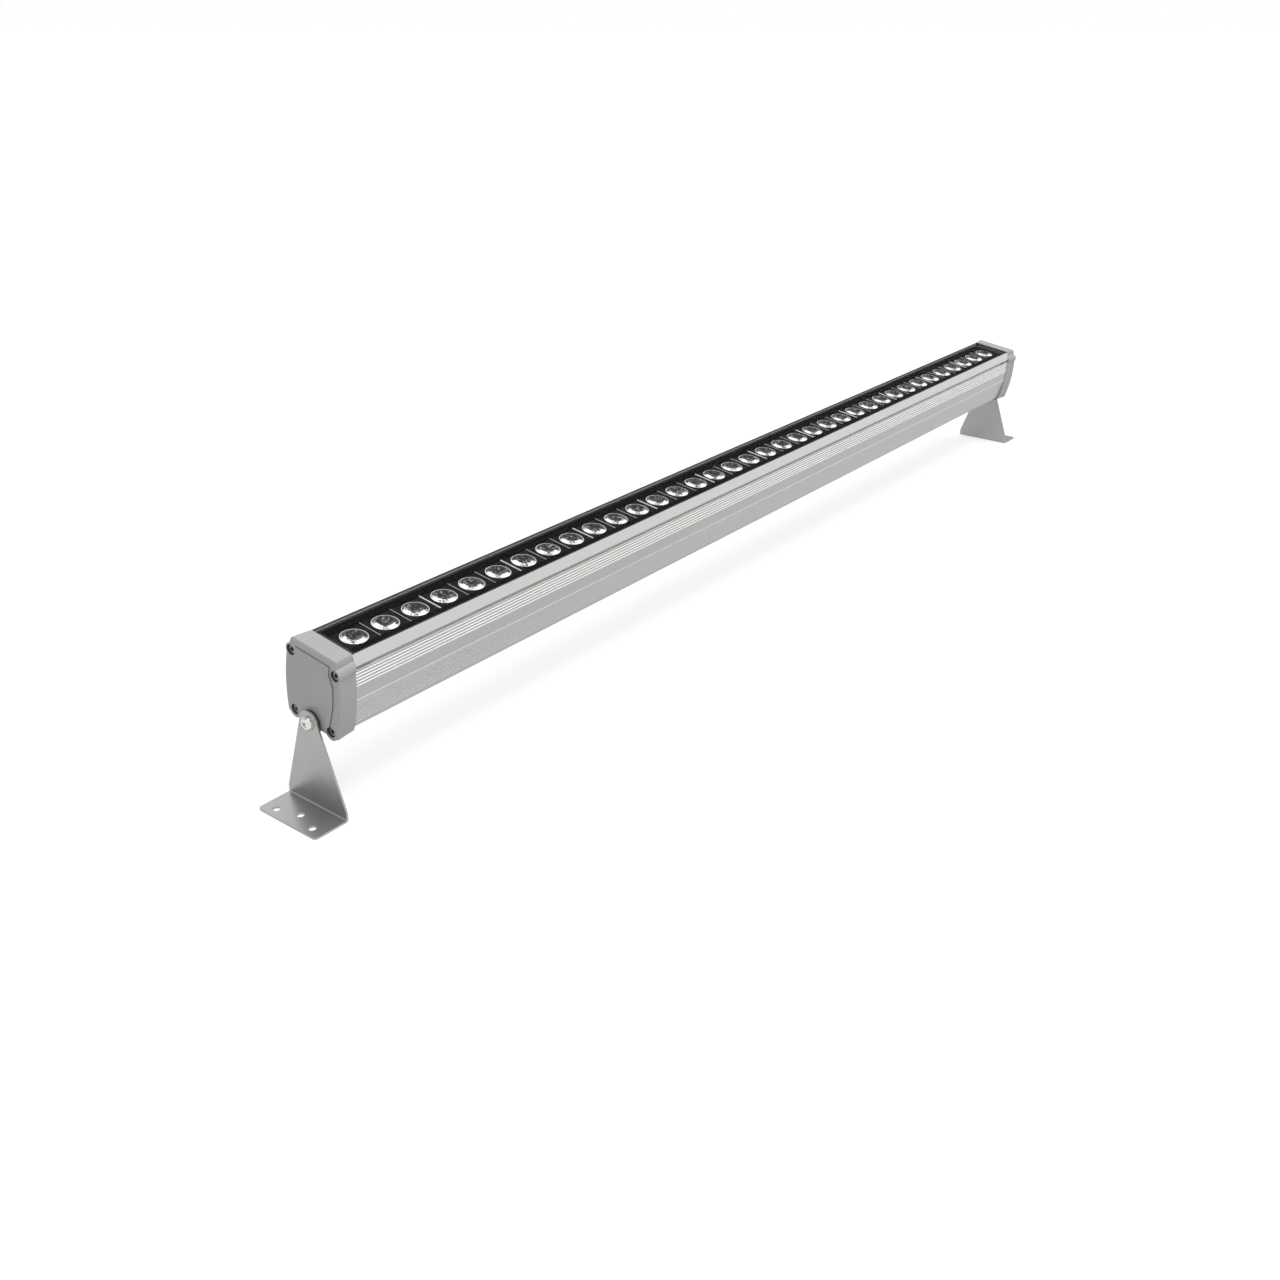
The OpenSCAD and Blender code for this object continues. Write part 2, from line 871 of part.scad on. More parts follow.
module lens_plate(m) {
  l = module_len - free_gap;
  color([0.92, 0.94, 0.95, 0.5])
    lean()
      translate([module_x(m), 0, 0])
        difference() {
          union() {
            translate([-l / 2, -plate_w / 2, lens_seat])
              cube([l, plate_w, plate_t]);
            for (i = [0 : leds_per_module - 1]) {
              translate([led_x(i), 0, lens_foot_z])
                lens_cone(0);
            }
          }
          for (i = [0 : leds_per_module - 1]) {
            translate([led_x(i), 0, lens_top - dish_d])
              cylinder(h = dish_d, r1 = 0.4 * lens_d, r2 = lens_d / 2);
            translate([led_x(i), 0, lens_foot_z - cut])
              cylinder(h = pocket_d + cut, r = 0.27 * lens_foot_d);
          }
          for (i = [0 : leds_per_module - 2]) {
            translate([led_x(i) + led_pitch / 2, 0, lens_top])
              cube([cell_groove_w, plate_w + cut, 2 * cell_groove_d], center = true);
          }
        }
}

module lens_holder_01() {
  lens_holder(0);
}
module lens_holder_02() {
  lens_holder(1);
}
module lens_holder_03() {
  lens_holder(2);
}
module lens_holder_04() {
  lens_holder(3);
}
module lens_holder_05() {
  lens_holder(4);
}
module lens_holder_06() {
  lens_holder(5);
}
module lens_holder_07() {
  lens_holder(6);
}
module lens_holder_08() {
  lens_holder(7);
}
module lens_holder_09() {
  lens_holder(8);
}
module lens_holder_10() {
  lens_holder(9);
}
module lens_holder_11() {
  lens_holder(10);
}
module lens_holder_12() {
  lens_holder(11);
}
module lens_plate_01() {
  lens_plate(0);
}
module lens_plate_02() {
  lens_plate(1);
}
module lens_plate_03() {
  lens_plate(2);
}
module lens_plate_04() {
  lens_plate(3);
}
module lens_plate_05() {
  lens_plate(4);
}
module lens_plate_06() {
  lens_plate(5);
}
module lens_plate_07() {
  lens_plate(6);
}
module lens_plate_08() {
  lens_plate(7);
}
module lens_plate_09() {
  lens_plate(8);
}
module lens_plate_10() {
  lens_plate(9);
}
module lens_plate_11() {
  lens_plate(10);
}
module lens_plate_12() {
  lens_plate(11);
}

// circuit boards

module board_screw_places() {
  for (m = [0 : module_count - 1]) {
    translate([module_x(m) - led_pitch / 2, 0, 0])
      children();
  }
}

module led_board(b) {
  l = board_len - free_gap;
  x0 = (b - (board_count - 1) / 2) * board_len;
  color([0.93, 0.93, 0.9])
    lean()
      difference() {
        translate([x0 - l / 2, -board_w / 2, board_bottom])
          cube([l, board_w, board_t]);
        for (m = [b * modules_per_board : (b + 1) * modules_per_board - 1]) {
          translate([module_x(m) - led_pitch / 2, 0, board_bottom - cut])
            cylinder(h = board_t + 2 * cut, r = board_screw_d / 2 + thread_gap);
        }
      }
}

module led_board_1() {
  led_board(0);
}
module led_board_2() {
  led_board(1);
}
module led_board_3() {
  led_board(2);
}

module led_emitters() {
  color([0.95, 0.85, 0.4])
    lean()
      for (m = [0 : module_count - 1]) {
        for (i = [0 : leds_per_module - 1]) {
          translate([module_x(m) + led_x(i), 0, board_top]) {
            translate([-led_w / 2, -led_w / 2, 0])
              cube([led_w, led_w, led_h]);
            cylinder(h = led_h + 0.15 * led_w, r1 = 0.42 * led_w, r2 = 0.3 * led_w);
          }
        }
      }
}

module board_links() {
  r = 0.25 * lead_d;
  y = channel_y + r + thread_gap;
  l = 4 * lead_d;
  color([0.85, 0.1, 0.1])
    lean()
      for (b = [1 : board_count - 1]) {
        for (s = [-1, 1]) {
          translate([(b - board_count / 2) * board_len - l / 2, s * y, board_top + r])
            rotate([0, 90, 0])
              cylinder(h = l, r = r);
        }
      }
}

module board_screws() {
  grip = board_t + pad_t + web_t + 0.5 * board_screw_d;
  color([0.75, 0.75, 0.75])
    lean()
      board_screw_places() {
        difference() {
          union() {
            translate([0, 0, board_top - grip])
              cylinder(h = grip, r = board_screw_d / 2);
            translate([0, 0, board_top])
              cylinder(h = board_head_h, r = board_head_d / 2);
          }
          translate([0, 0, board_top + 0.45 * board_head_h])
            cylinder(h = board_head_h, r = 0.25 * board_head_d, $fn = 6);
        }
      }
}

module heat_pad() {
  l = lens_len - free_gap;
  color([0.75, 0.8, 0.85])
    lean()
      difference() {
        translate([-l / 2, -board_w / 2, web_top])
          cube([l, board_w, pad_t]);
        board_screw_places() {
          translate([0, 0, web_top - cut])
            cylinder(h = pad_t + 2 * cut, r = board_screw_d / 2 + thread_gap);
        }
      }
}

// driver and wiring

module driver_pad() {
  color([0.2, 0.2, 0.2])
    lean()
      translate([driver_start + 5 * driver_wall, -driver_w / 2 + driver_wall, rail_top])
        cube([driver_len - 10 * driver_wall, driver_w - 2 * driver_wall, driver_pad_t]);
}

module driver_case() {
  in_w = driver_w - 2 * driver_wall;
  in_l = driver_len - 2 * driver_wall;
  color([0.7, 0.71, 0.72])
    lean() {
      difference() {
        translate([driver_start, -driver_w / 2, driver_floor])
          cube([driver_len, driver_w, driver_h]);
        translate([driver_start + driver_wall, -in_w / 2, driver_floor + driver_wall])
          cube([in_l, in_w, driver_h]);
        for (s = [-1, 0, 1]) {
          translate([0, s * driver_w / 5, lead_z])
            rod_x(driver_end - 2 * driver_wall, 3 * driver_wall, lead_d / 2 + thread_gap);
        }
        for (s = [-1, 1]) {
          translate([0, s * driver_w / 4, lead_z])
            rod_x(driver_start - driver_wall, 3 * driver_wall, lead_d / 2 + thread_gap);
        }
      }
      for (s = [-1, 1]) {
        for (t = [-1, 1]) {
          translate([driver_x + s * 0.4 * driver_len, t * driver_w / 4, driver_floor])
            cylinder(h = driver_wall + standoff_h, r = 1.5 * driver_wall);
        }
      }
    }
}

module driver_lid() {
  z = driver_floor + driver_h;
  in_w = driver_w - 2 * driver_wall - 2 * fit_gap;
  in_l = driver_len - 2 * driver_wall - 2 * fit_gap;
  color([0.7, 0.71, 0.72])
    lean() {
      translate([driver_start, -driver_w / 2, z])
        cube([driver_len, driver_w, driver_wall]);
      difference() {
        translate([driver_x - in_l / 2, -in_w / 2, z - driver_wall])
          cube([in_l, in_w, 1.5 * driver_wall]);
        translate([driver_x - in_l / 2 + driver_wall, driver_wall - in_w / 2, z - 2 * driver_wall])
          cube([in_l - 2 * driver_wall, in_w - 2 * driver_wall, 2 * driver_wall]);
      }
    }
}

module driver_board() {
  l = driver_len - 2 * driver_wall - 4 * free_gap;
  w = driver_w - 2 * driver_wall - 2 * free_gap;
  color([0.1, 0.35, 0.15])
    lean()
      translate([driver_x - l / 2, -w / 2, driver_board_z])
        cube([l, w, board_t]);
}

module driver_parts() {
  z = driver_board_z + board_t;
  color([0.15, 0.15, 0.2])
    lean()
      translate([driver_x, 0, z]) {
        translate([-0.05 * driver_len, -0.34 * driver_w, 0])
          cube([0.11 * driver_len, 0.68 * driver_w, 0.55 * driver_h]);
        translate([0.2 * driver_len, 0, 0])
          cylinder(h = 0.58 * driver_h, r = 0.28 * driver_w);
        translate([0.3 * driver_len, 0, 0])
          cylinder(h = 0.5 * driver_h, r = 0.22 * driver_w);
        translate([-0.22 * driver_len, 0, 0])
          cylinder(h = 0.3 * driver_h, r = 0.3 * driver_w);
        translate([-0.36 * driver_len, -0.25 * driver_w, 0])
          cube([0.06 * driver_len, 0.5 * driver_w, 0.36 * driver_h]);
        translate([0.1 * driver_len, -0.3 * driver_w, 0])
          cube([0.03 * driver_len, 0.6 * driver_w, 0.5 * driver_h]);
      }
}

// a lead along a chain of points, with round corners
module lead(pts) {
  r = lead_d / 2;
  for (i = [0 : len(pts) - 2]) {
    d = pts[i + 1] - pts[i];
    translate(pts[i])
      rotate([0, acos(d[2] / norm(d)), atan2(d[1], d[0])])
        cylinder(h = norm(d), r = r);
  }
  for (i = [1 : len(pts) - 2]) {
    translate(pts[i])
      sphere(r = r);
  }
}

module output_leads() {
  y0 = driver_w / 4;
  pad_z = board_top + lead_d / 2;
  color([0.75, 0.1, 0.1])
    lean()
      for (s = [-1, 1]) {
        lead([
          [driver_start + 4 * driver_wall, s * y0, lead_z],
          [lead_turn_x, s * y0, lead_z],
          [lead_turn_x, s * lead_y, lead_z + lead_y - y0],
          [lead_turn_x, s * lead_y, pad_z],
          [lead_turn_x, s * (board_w / 2 - 0.35 * lead_d), pad_z]
        ]);
      }
}

module supply_leads() {
  x0 = driver_end - 4 * driver_wall;
  color([0.2, 0.3, 0.7])
    lean()
      for (s = [-1, 0, 1]) {
        translate([0, s * driver_w / 5, lead_z])
          rod_x(x0, terminal_start + terminal_len / 3 - x0, lead_d / 2);
      }
}

module terminal_block() {
  w = 0.86 * driver_w;
  color([0.85, 0.85, 0.8])
    lean()
      difference() {
        translate([terminal_start, -w / 2, rail_top])
          cube([terminal_len, w, terminal_h]);
        for (s = [-1, 0, 1]) {
          translate([0, s * driver_w / 5, lead_z])
            rod_x(terminal_start - cut, terminal_len + 2 * cut, lead_d / 2 + thread_gap);
          translate([terminal_start + terminal_len / 2, s * driver_w / 5, lead_z])
            cylinder(h = terminal_h, r = lead_d / 2);
        }
      }
}

// cable gland on the right-hand end cap

module gland_body() {
  back = half_bar + cap_space_depth - 1.3 * locknut_h;
  neck = 0.75 * gland_nut_h;
  hex_x = cap_face + gland_seal_t;
  color([0.12, 0.12, 0.12])
    lean()
      translate([0, 0, gland_z])
        difference() {
          union() {
            rod_x(back, hex_x + gland_hex_h + neck - back, gland_thread_d / 2);
            translate([hex_x, 0, 0])
              rotate([0, 90, 0])
                rotate([0, 0, 30])
                  cylinder(h = gland_hex_h, r = gland_flats / sqrt(3), $fn = 6);
          }
          rod_x(back - cut, hex_x + gland_hex_h + neck - back + 2 * cut, gland_bore_d / 2);
        }
}

module gland_seal() {
  color([0.3, 0.3, 0.3])
    lean()
      translate([0, 0, gland_z])
        difference() {
          rod_x(cap_face, gland_seal_t, gland_flats / 2);
          rod_x(cap_face - cut, gland_seal_t + 2 * cut, gland_thread_d / 2 + thread_gap);
        }
}

module gland_locknut() {
  x0 = half_bar + cap_space_depth - locknut_h;
  color([0.12, 0.12, 0.12])
    lean()
      translate([0, 0, gland_z])
        difference() {
          translate([x0, 0, 0])
            rotate([0, 90, 0])
              rotate([0, 0, 30])
                cylinder(h = locknut_h, r = gland_flats / sqrt(3), $fn = 6);
          rod_x(x0 - cut, locknut_h + 2 * cut, gland_thread_d / 2 + thread_gap);
        }
}

module gland_nut() {
  x0 = cap_face + gland_seal_t + gland_hex_h;
  ro = gland_flats / 2;
  rt = gland_thread_d / 2 + thread_gap;
  color([0.12, 0.12, 0.12])
    lean()
      translate([x0, 0, gland_z])
        rotate([0, 90, 0])
          rotate_extrude()
            polygon([
              [rt, 0],
              [ro, 0],
              [ro, 0.75 * gland_nut_h],
              [0.62 * ro, gland_nut_h],
              [gland_bore_d / 2, gland_nut_h],
              [gland_bore_d / 2, 0.8 * gland_nut_h],
              [rt, 0.76 * gland_nut_h]
            ]);
}

bracket_left();
bracket_right();
pivot_screws();
pivot_washers();
pivot_spacers();
housing_profile();
end_cap_left();
end_cap_right();
cap_gasket_left();
cap_gasket_right();
cap_screws();
cap_screw_seals();
cover_glass();
glass_seal_front();
glass_seal_back();
tray_plug_left();
tray_plug_right();
lens_holder_01();
lens_holder_02();
lens_holder_03();
lens_holder_04();
lens_holder_05();
lens_holder_06();
lens_holder_07();
lens_holder_08();
lens_holder_09();
lens_holder_10();
lens_holder_11();
lens_holder_12();
lens_plate_01();
lens_plate_02();
lens_plate_03();
lens_plate_04();
lens_plate_05();
lens_plate_06();
lens_plate_07();
lens_plate_08();
lens_plate_09();
lens_plate_10();
lens_plate_11();
lens_plate_12();
led_board_1();
led_board_2();
led_board_3();
led_emitters();
board_links();
board_screws();
heat_pad();
driver_pad();
driver_case();
driver_lid();
driver_board();
driver_parts();
output_leads();
supply_leads();
terminal_block();
gland_body();
gland_seal();
gland_locknut();
gland_nut();
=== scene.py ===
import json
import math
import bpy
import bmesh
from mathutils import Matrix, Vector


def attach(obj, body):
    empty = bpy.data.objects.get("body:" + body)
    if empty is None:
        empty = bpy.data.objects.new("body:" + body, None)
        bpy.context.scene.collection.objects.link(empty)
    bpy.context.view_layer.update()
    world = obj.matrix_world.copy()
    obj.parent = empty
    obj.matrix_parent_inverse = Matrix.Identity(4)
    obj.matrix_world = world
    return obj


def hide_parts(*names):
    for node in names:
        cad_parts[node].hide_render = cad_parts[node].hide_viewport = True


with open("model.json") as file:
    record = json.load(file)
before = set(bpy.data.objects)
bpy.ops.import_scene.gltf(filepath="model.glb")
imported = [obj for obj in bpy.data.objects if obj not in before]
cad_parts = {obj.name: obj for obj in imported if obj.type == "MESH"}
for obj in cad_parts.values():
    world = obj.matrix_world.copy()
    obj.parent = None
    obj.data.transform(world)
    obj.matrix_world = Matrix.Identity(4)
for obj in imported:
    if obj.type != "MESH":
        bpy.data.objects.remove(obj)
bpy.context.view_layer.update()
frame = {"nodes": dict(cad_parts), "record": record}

# %% [markdown]
# # An outdoor wall washer light
# The real light is one metre of extruded aluminium with a die-cast cap at each end. It hangs
# between two bent sheet-steel brackets and tilts about the two screws that join them. The CAD
# model is loaded as a fixed frame, and this script dresses it: crisp parts of the frame keep
# their shape and get a finish, and parts whose edges and optics carry the look are remade.

MM = 0.001

# %% [markdown]
# The lamp leans a few degrees on its pivot line. It is easier to shape its pieces upright and
# lean them at the end, so one matrix carries points from the upright lamp to its real place.
# The height comes from the tilt joint, and the lean from that joint's upper stop, at which
# the lamp lies level.

# %% The pivot line and the lean
tilt = next(j for j in frame["record"]["behaviour"]["joints"] if j["name"] == "tilt")
PIVOT_Z = tilt["pos_m"][2]
LEAN = math.radians(90 - tilt["range_deg"][1])
LAMP = Matrix.Translation((0, 0, PIVOT_Z)) @ Matrix.Rotation(LEAN, 4, "X")
UPRIGHT = LAMP.inverted()


def upright_box(node):
    """The lowest and highest corner of a CAD node in the upright lamp, in metres."""
    points = [UPRIGHT @ v.co for v in frame["nodes"][node].data.vertices]
    low = Vector([min(p[i] for p in points) for i in range(3)])
    high = Vector([max(p[i] for p in points) for i in range(3)])
    return low, high


print("pivot line at", PIVOT_Z, "m, lean", round(math.degrees(LEAN), 2), "degrees")

# %% [markdown]
# ## Shader maths
# A finish is a small program, and written as Python it reads like one. A wire is a socket
# that can be added, multiplied or compared with another wire or a number, and each of these
# adds its own Math node. Every other node comes from one method of the finish.

# %% Wires
class Wire:
    """A shader socket that takes part in arithmetic."""

    def __init__(self, owner, socket):
        self.owner = owner
        self.socket = socket

    def maths(self, operation, *values):
        return self.owner.node("ShaderNodeMath", {"operation": operation},
                               dict(enumerate(values)))

    def fraction(self):
        return self.maths("FRACT", self)

    def at_least(self, other):
        return self.maths("MAXIMUM", self, other)

    def __add__(self, other):
        return self.maths("ADD", self, other)

    def __radd__(self, other):
        return self.maths("ADD", other, self)

    def __sub__(self, other):
        return self.maths("SUBTRACT", self, other)

    def __rsub__(self, other):
        return self.maths("SUBTRACT", other, self)

    def __mul__(self, other):
        return self.maths("MULTIPLY", self, other)

    def __rmul__(self, other):
        return self.maths("MULTIPLY", other, self)

    def __truediv__(self, other):
        return self.maths("DIVIDE", self, other)

    def __rtruediv__(self, other):
        return self.maths("DIVIDE", other, self)

    def __gt__(self, other):
        return self.maths("GREATER_THAN", self, other)

    def __lt__(self, other):
        return self.maths("LESS_THAN", self, other)


# %% Node trees and finishes
class NodeTree:
    """A node tree in which every node is made by one method."""

    def __init__(self, tree):
        self.tree = tree

    def node(self, kind, settings=None, inputs=None, output=0):
        made = self.tree.nodes.new(kind)
        for key, value in (settings or {}).items():
            setattr(made, key, value)
        for key, value in (inputs or {}).items():
            if isinstance(value, Wire):
                self.tree.links.new(value.socket, made.inputs[key])
            else:
                made.inputs[key].default_value = value
        return Wire(self, made.outputs[output])

    def blend(self, mask, one, two):
        """Colour one where the mask is 0, and colour two where it is 1."""
        inputs = {"Factor": mask}
        for key, colour in ((6, one), (7, two)):
            inputs[key] = colour if isinstance(colour, Wire) else (*colour, 1)
        return self.node("ShaderNodeMix", {"data_type": "RGBA"}, inputs, output=2)

    def seen_directly(self):
        """1 for what the camera sees, also in a mirror or through glass, and 0 for light."""
        seen = self.node("ShaderNodeLightPath", output="Is Camera Ray")
        for ray in ("Is Glossy Ray", "Is Transmission Ray"):
            seen = seen.at_least(self.node("ShaderNodeLightPath", output=ray))
        return seen


class Finish(NodeTree):
    """A material whose one shader is fed by a chain of nodes."""

    def __init__(self, name, colour, roughness, metallic=0.0, **constants):
        self.material = bpy.data.materials.new(name)
        self.material.use_nodes = True
        super().__init__(self.material.node_tree)
        self.shader = self.tree.nodes["Principled BSDF"]
        self.shader.inputs["Base Color"].default_value = (*colour, 1)
        self.shader.inputs["Roughness"].default_value = roughness
        self.shader.inputs["Metallic"].default_value = metallic
        for socket, value in constants.items():
            self.shader.inputs[socket.replace("_", " ")].default_value = value

    def noise(self, scale, detail=2.0, stretch=(1, 1, 1)):
        """Noise on the piece itself. A stretch below 1 along an axis draws it out there."""
        here = self.node("ShaderNodeTexCoord", output="Object")
        place = self.node("ShaderNodeMapping", {"vector_type": "POINT"},
                          {"Vector": here, "Scale": stretch})
        return self.node("ShaderNodeTexNoise", {}, {
            "Vector": place, "Scale": scale, "Detail": detail})

    def feed(self, socket, wire):
        self.tree.links.new(wire.socket, self.shader.inputs[socket])

    def bump(self, height, strength, distance):
        self.feed("Normal", self.node("ShaderNodeBump", {}, {
            "Strength": strength, "Distance": distance, "Height": height}))


def grey(value, tint=0.0):
    """A grey with a little blue taken out, or put in by a negative tint."""
    return (value, value, value * (1 - tint))


# %% [markdown]
# ## Metal finishes
# The long profile is matt anodised: a pale grey whose faint streaks run along the extrusion.
# The caps are die-cast and powder-coated, so they get a fine orange-peel bump. The brackets
# are stainless sheet with a brushed grain, and the screws are bright or dull steel.

# %% [markdown]
# The side of the profile has two bands of fine ribs. Their crests are painted bright as highlights
# and their grooves painted dark as shade. The flange and a line above the step are painted brighter
# as highlights too. The finish reads the height above the pivot line, measured along the leaning
# lamp:
# the product of a point with the lamp's own up direction gives it. Heights are in millimetres.
# Tones run from 0, black, to 1, white.

# %% Tones and painted light of the profile
# The crest tones of the two bands are painted highlights, and the groove tones are painted shade.
UPPER_BAND = (31.3, 43.0, 2.3, 0.86, 0.34)  # start, end, rib pitch, crest tone, groove tone
LOWER_BAND = (1.25, 20.5, 1.75, 0.66, 0.36)
GROOVE_START, GROOVE_END = 0.36, 0.86  # shares of the pitch
FLANGE_START = 45.8
STEP_START, STEP_END = 20.5, 21.1
# The flange's tone is a painted highlight over the plain tone, and the step line's tone is a
# painted highlight.
PLAIN, FLANGE_PAINTED_LIGHT, STEP_PAINTED_HIGHLIGHT = 0.46, 0.58, 0.95
print("rib bands:", UPPER_BAND[:2], LOWER_BAND[:2])

# %% Anodised aluminium
anodised = Finish("anodised_aluminium", grey(PLAIN, 0.02), 0.42, 0.2)
up = LAMP.to_3x3() @ Vector((0, 0, 1))
along_up = anodised.node("ShaderNodeVectorMath", {"operation": "DOT_PRODUCT"}, {
    0: anodised.node("ShaderNodeTexCoord", output="Object"), 1: up}, output="Value")
height = (along_up - PIVOT_Z * up.z) / MM
# Painted light and shade: a brighter flange, painted highlights on the rib crests, painted shade in
# the grooves, and a painted highlight line above the step.
tone_and_painted_light = (height > FLANGE_START) * (FLANGE_PAINTED_LIGHT - PLAIN) + PLAIN
for start, end, pitch, crest, groove_shade in (UPPER_BAND, LOWER_BAND):
    share = ((height - start) / pitch).fraction()
    groove_shade_mask = (share > GROOVE_START) * (share < GROOVE_END)
    inside = (height > start) * (height < end)
    tone_and_painted_light = tone_and_painted_light + inside * (crest - PLAIN - groove_shade_mask * (crest - groove_shade))
tone_and_painted_light = tone_and_painted_light + (height > STEP_START) * (height < STEP_END) * (STEP_PAINTED_HIGHLIGHT - PLAIN)
streaks = anodised.noise(500, 2, stretch=(0.01, 1, 1))
anodised.feed("Base Color", anodised.blend(tone_and_painted_light * (0.96 + streaks * 0.08), grey(0), grey(1, 0.015)))
anodised.feed("Roughness", 0.38 + streaks * 0.1)
anodised.bump(streaks, 0.03, 0.0001)
print("anodised finish made of", len(anodised.tree.nodes), "nodes")

# %% Powder coat
powder = Finish("grey_powder_coat", grey(0.35, -0.025), 0.5, 0.1)
# The dark colour is painted shade. It is laid on the faces that the cap marks: the panel's step and
# the insides of the counterbores.
seam = powder.node("ShaderNodeAttribute", {"attribute_name": "seam"}, output="Fac")
powder.feed("Base Color", powder.blend(seam, powder.blend(
    powder.noise(70, 3), grey(0.33, -0.025), grey(0.38, -0.025)), grey(0.08, -0.02)))
powder.feed("Roughness", 0.44 + powder.noise(300, 2) * 0.14)
powder.bump(powder.noise(1600, 2), 0.15, 0.0002)
print("powder coat made of", len(powder.tree.nodes), "nodes")

# %% Brushed sheet steel
brushed = Finish("brushed_sheet_steel", grey(0.36), 0.36, 0.9)
grain = brushed.noise(1500, 3, stretch=(1, 0.02, 1))
clouds = brushed.noise(30, 2)
brushed.feed("Base Color", brushed.blend(grain * 0.4 + clouds * 0.6, grey(0.29), grey(0.43)))
brushed.feed("Roughness", 0.34 + grain * 0.08)
brushed.bump(grain, 0.05, 0.0001)
print("brushed steel made of", len(brushed.tree.nodes), "nodes")

# %% Screw steels
bright_steel = Finish("bright_screw_steel", (0.66, 0.63, 0.6), 0.24, 0.95)
scuffs = bright_steel.noise(900, 3)
bright_steel.feed("Base Color", bright_steel.blend(scuffs, (0.5, 0.47, 0.44), (0.78, 0.76, 0.74)))
bright_steel.feed("Roughness", 0.16 + scuffs * 0.2)

dull_steel = Finish("dull_screw_steel", grey(0.2), 0.4, 0.9)
dull_steel.feed("Base Color", dull_steel.blend(dull_steel.noise(800, 2), grey(0.14), grey(0.28)))
dull_steel.feed("Roughness", 0.3 + dull_steel.noise(900, 2) * 0.2)
print("screw steels made")

# %% [markdown]
# ## Rubber, plastics and glass
# What lies under the glass is black so that it throws no stray light. Only the acrylic lenses
# shine there, and their shine is painted reflection. The pane itself is so clear that it is nearly
# all alpha.

# %% Rubber and black plastics
rubber = Finish("seal_rubber", grey(0.018), 0.75)
rubber.feed("Roughness", 0.68 + rubber.noise(400, 2) * 0.14)
rubber.bump(rubber.noise(1500, 2), 0.25, 0.0002)

satin_black = Finish("satin_black_moulding", grey(0.004), 0.6, Specular_IOR_Level=0.01)
satin_black.feed("Base Color", satin_black.blend(
    satin_black.noise(60, 3), grey(0.003), grey(0.006)))
satin_black.bump(satin_black.noise(2200, 2), 0.12, 0.0001)

gland_nylon = Finish("black_gland_nylon", grey(0.02), 0.4)
gland_nylon.feed("Roughness", 0.34 + gland_nylon.noise(500, 2) * 0.14)

smoke = Finish("smoked_acrylic", grey(0.01), 0.4, Specular_IOR_Level=0.02)
smoke.feed("Base Color", smoke.blend(smoke.noise(90, 3), grey(0.006), grey(0.016)))
smoke.feed("Roughness", 0.34 + smoke.noise(300, 2) * 0.14)
print("rubber and black plastics made")

# %% White nylon, glass and clear edges
nylon = Finish("white_nylon", (0.78, 0.78, 0.74), 0.4)
nylon.feed("Roughness", 0.35 + nylon.noise(500, 2) * 0.15)

pane = Finish("toughened_glass", (0.05, 0.06, 0.06), 0.04, Alpha=0.03, Specular_IOR_Level=0.4)
pane.feed("Roughness", 0.03 + pane.noise(40, 2) * 0.03)

# Both clear-edge finishes are white painted highlights: brighter between modules, fainter between
# cells.
edge_highlight = Finish("painted_edge_highlight", grey(0.85), 0.3)
edge_highlight.feed("Base Color", edge_highlight.blend(edge_highlight.noise(250, 2), grey(0.7), grey(0.95)))

faint_edge_highlight = Finish("faint_painted_edge_highlight", grey(0.5), 0.35)
faint_edge_highlight.feed("Base Color", faint_edge_highlight.blend(faint_edge_highlight.noise(250, 2), grey(0.38), grey(0.62)))
print("nylon, glass and edges made")

# %% [markdown]
# The lens faces are the brightest spots of the light, and that brightness is painted reflection.
# The daylight that each lens throws about inside is painted into its wall as two mottled white
# crescents, one towards the near end of the bar and one towards the front, round a dark middle with
# a few painted glints, and a thin painted highlight on the rim closes the circle. Each lens carries
# its own place as an attribute, from -1 to 1 across the lens. The distance from the lens's axis
# makes the ring, the direction makes the crescents, and noise breaks both up.

# %% Moulded lens
RING_START, RING_END = 0.44, 0.7  # distances from the axis, as shares of the lens's radius
RIM_START = 0.93
# The white is painted reflection, round the lens's dark middle.
REFLECTED_WHITE, DARK = grey(0.97), grey(0.012)
crystal = Finish("moulded_acrylic_lens", grey(0.5), 0.2, Specular_IOR_Level=0.3)
spot = crystal.node("ShaderNodeAttribute", {"attribute_name": "lens_place"}, output="Vector")
reach = crystal.node("ShaderNodeVectorMath", {"operation": "LENGTH"}, {0: spot}, output="Value")
heading = crystal.node("ShaderNodeVectorMath", {"operation": "NORMALIZE"}, {0: spot})
ripple = crystal.noise(260, 3)
mottle = crystal.noise(620, 2)


def lobe(axis):
    """1 towards the minus side of an axis, falling to 0 a quarter turn away."""
    along = crystal.node("ShaderNodeSeparateXYZ", {}, {"Vector": heading}, output=axis)
    facing = (0 - along).at_least(0)
    return facing * facing * facing * facing


def ramp_up(value, low, high):
    """0 below the low value and 1 above the high one, with a smooth step between them."""
    return crystal.node("ShaderNodeMapRange", {"interpolation_type": "SMOOTHSTEP"}, {
        "Value": value, "From Min": low, "From Max": high})


# Painted reflection: a ring in the wall, two crescents, a few glints in the middle and a highlight
# on the rim.
ring_reflection = ramp_up(reach + (ripple - 0.5) * 0.8, RING_START, RING_END)
crescent_reflections = ramp_up(lobe("X") + lobe("Y") + (mottle - 0.5) * 1.6, 0.3, 0.85)
core_glints = ramp_up(mottle + ripple, 1.0, 1.35) * 0.3
rim_highlight = (reach > RIM_START) * 0.6
painted_reflection = (ring_reflection * crescent_reflections).at_least(core_glints).at_least(rim_highlight)
crystal.feed("Base Color", crystal.blend(painted_reflection, DARK, REFLECTED_WHITE))
crystal.bump(ripple + mottle, 0.4, 0.001)
print("lens finish made of", len(crystal.tree.nodes), "nodes")

# %% [markdown]
# ## Finishes of the electrical parts
# They are hidden inside, but the model can be taken apart, so each one is finished too.

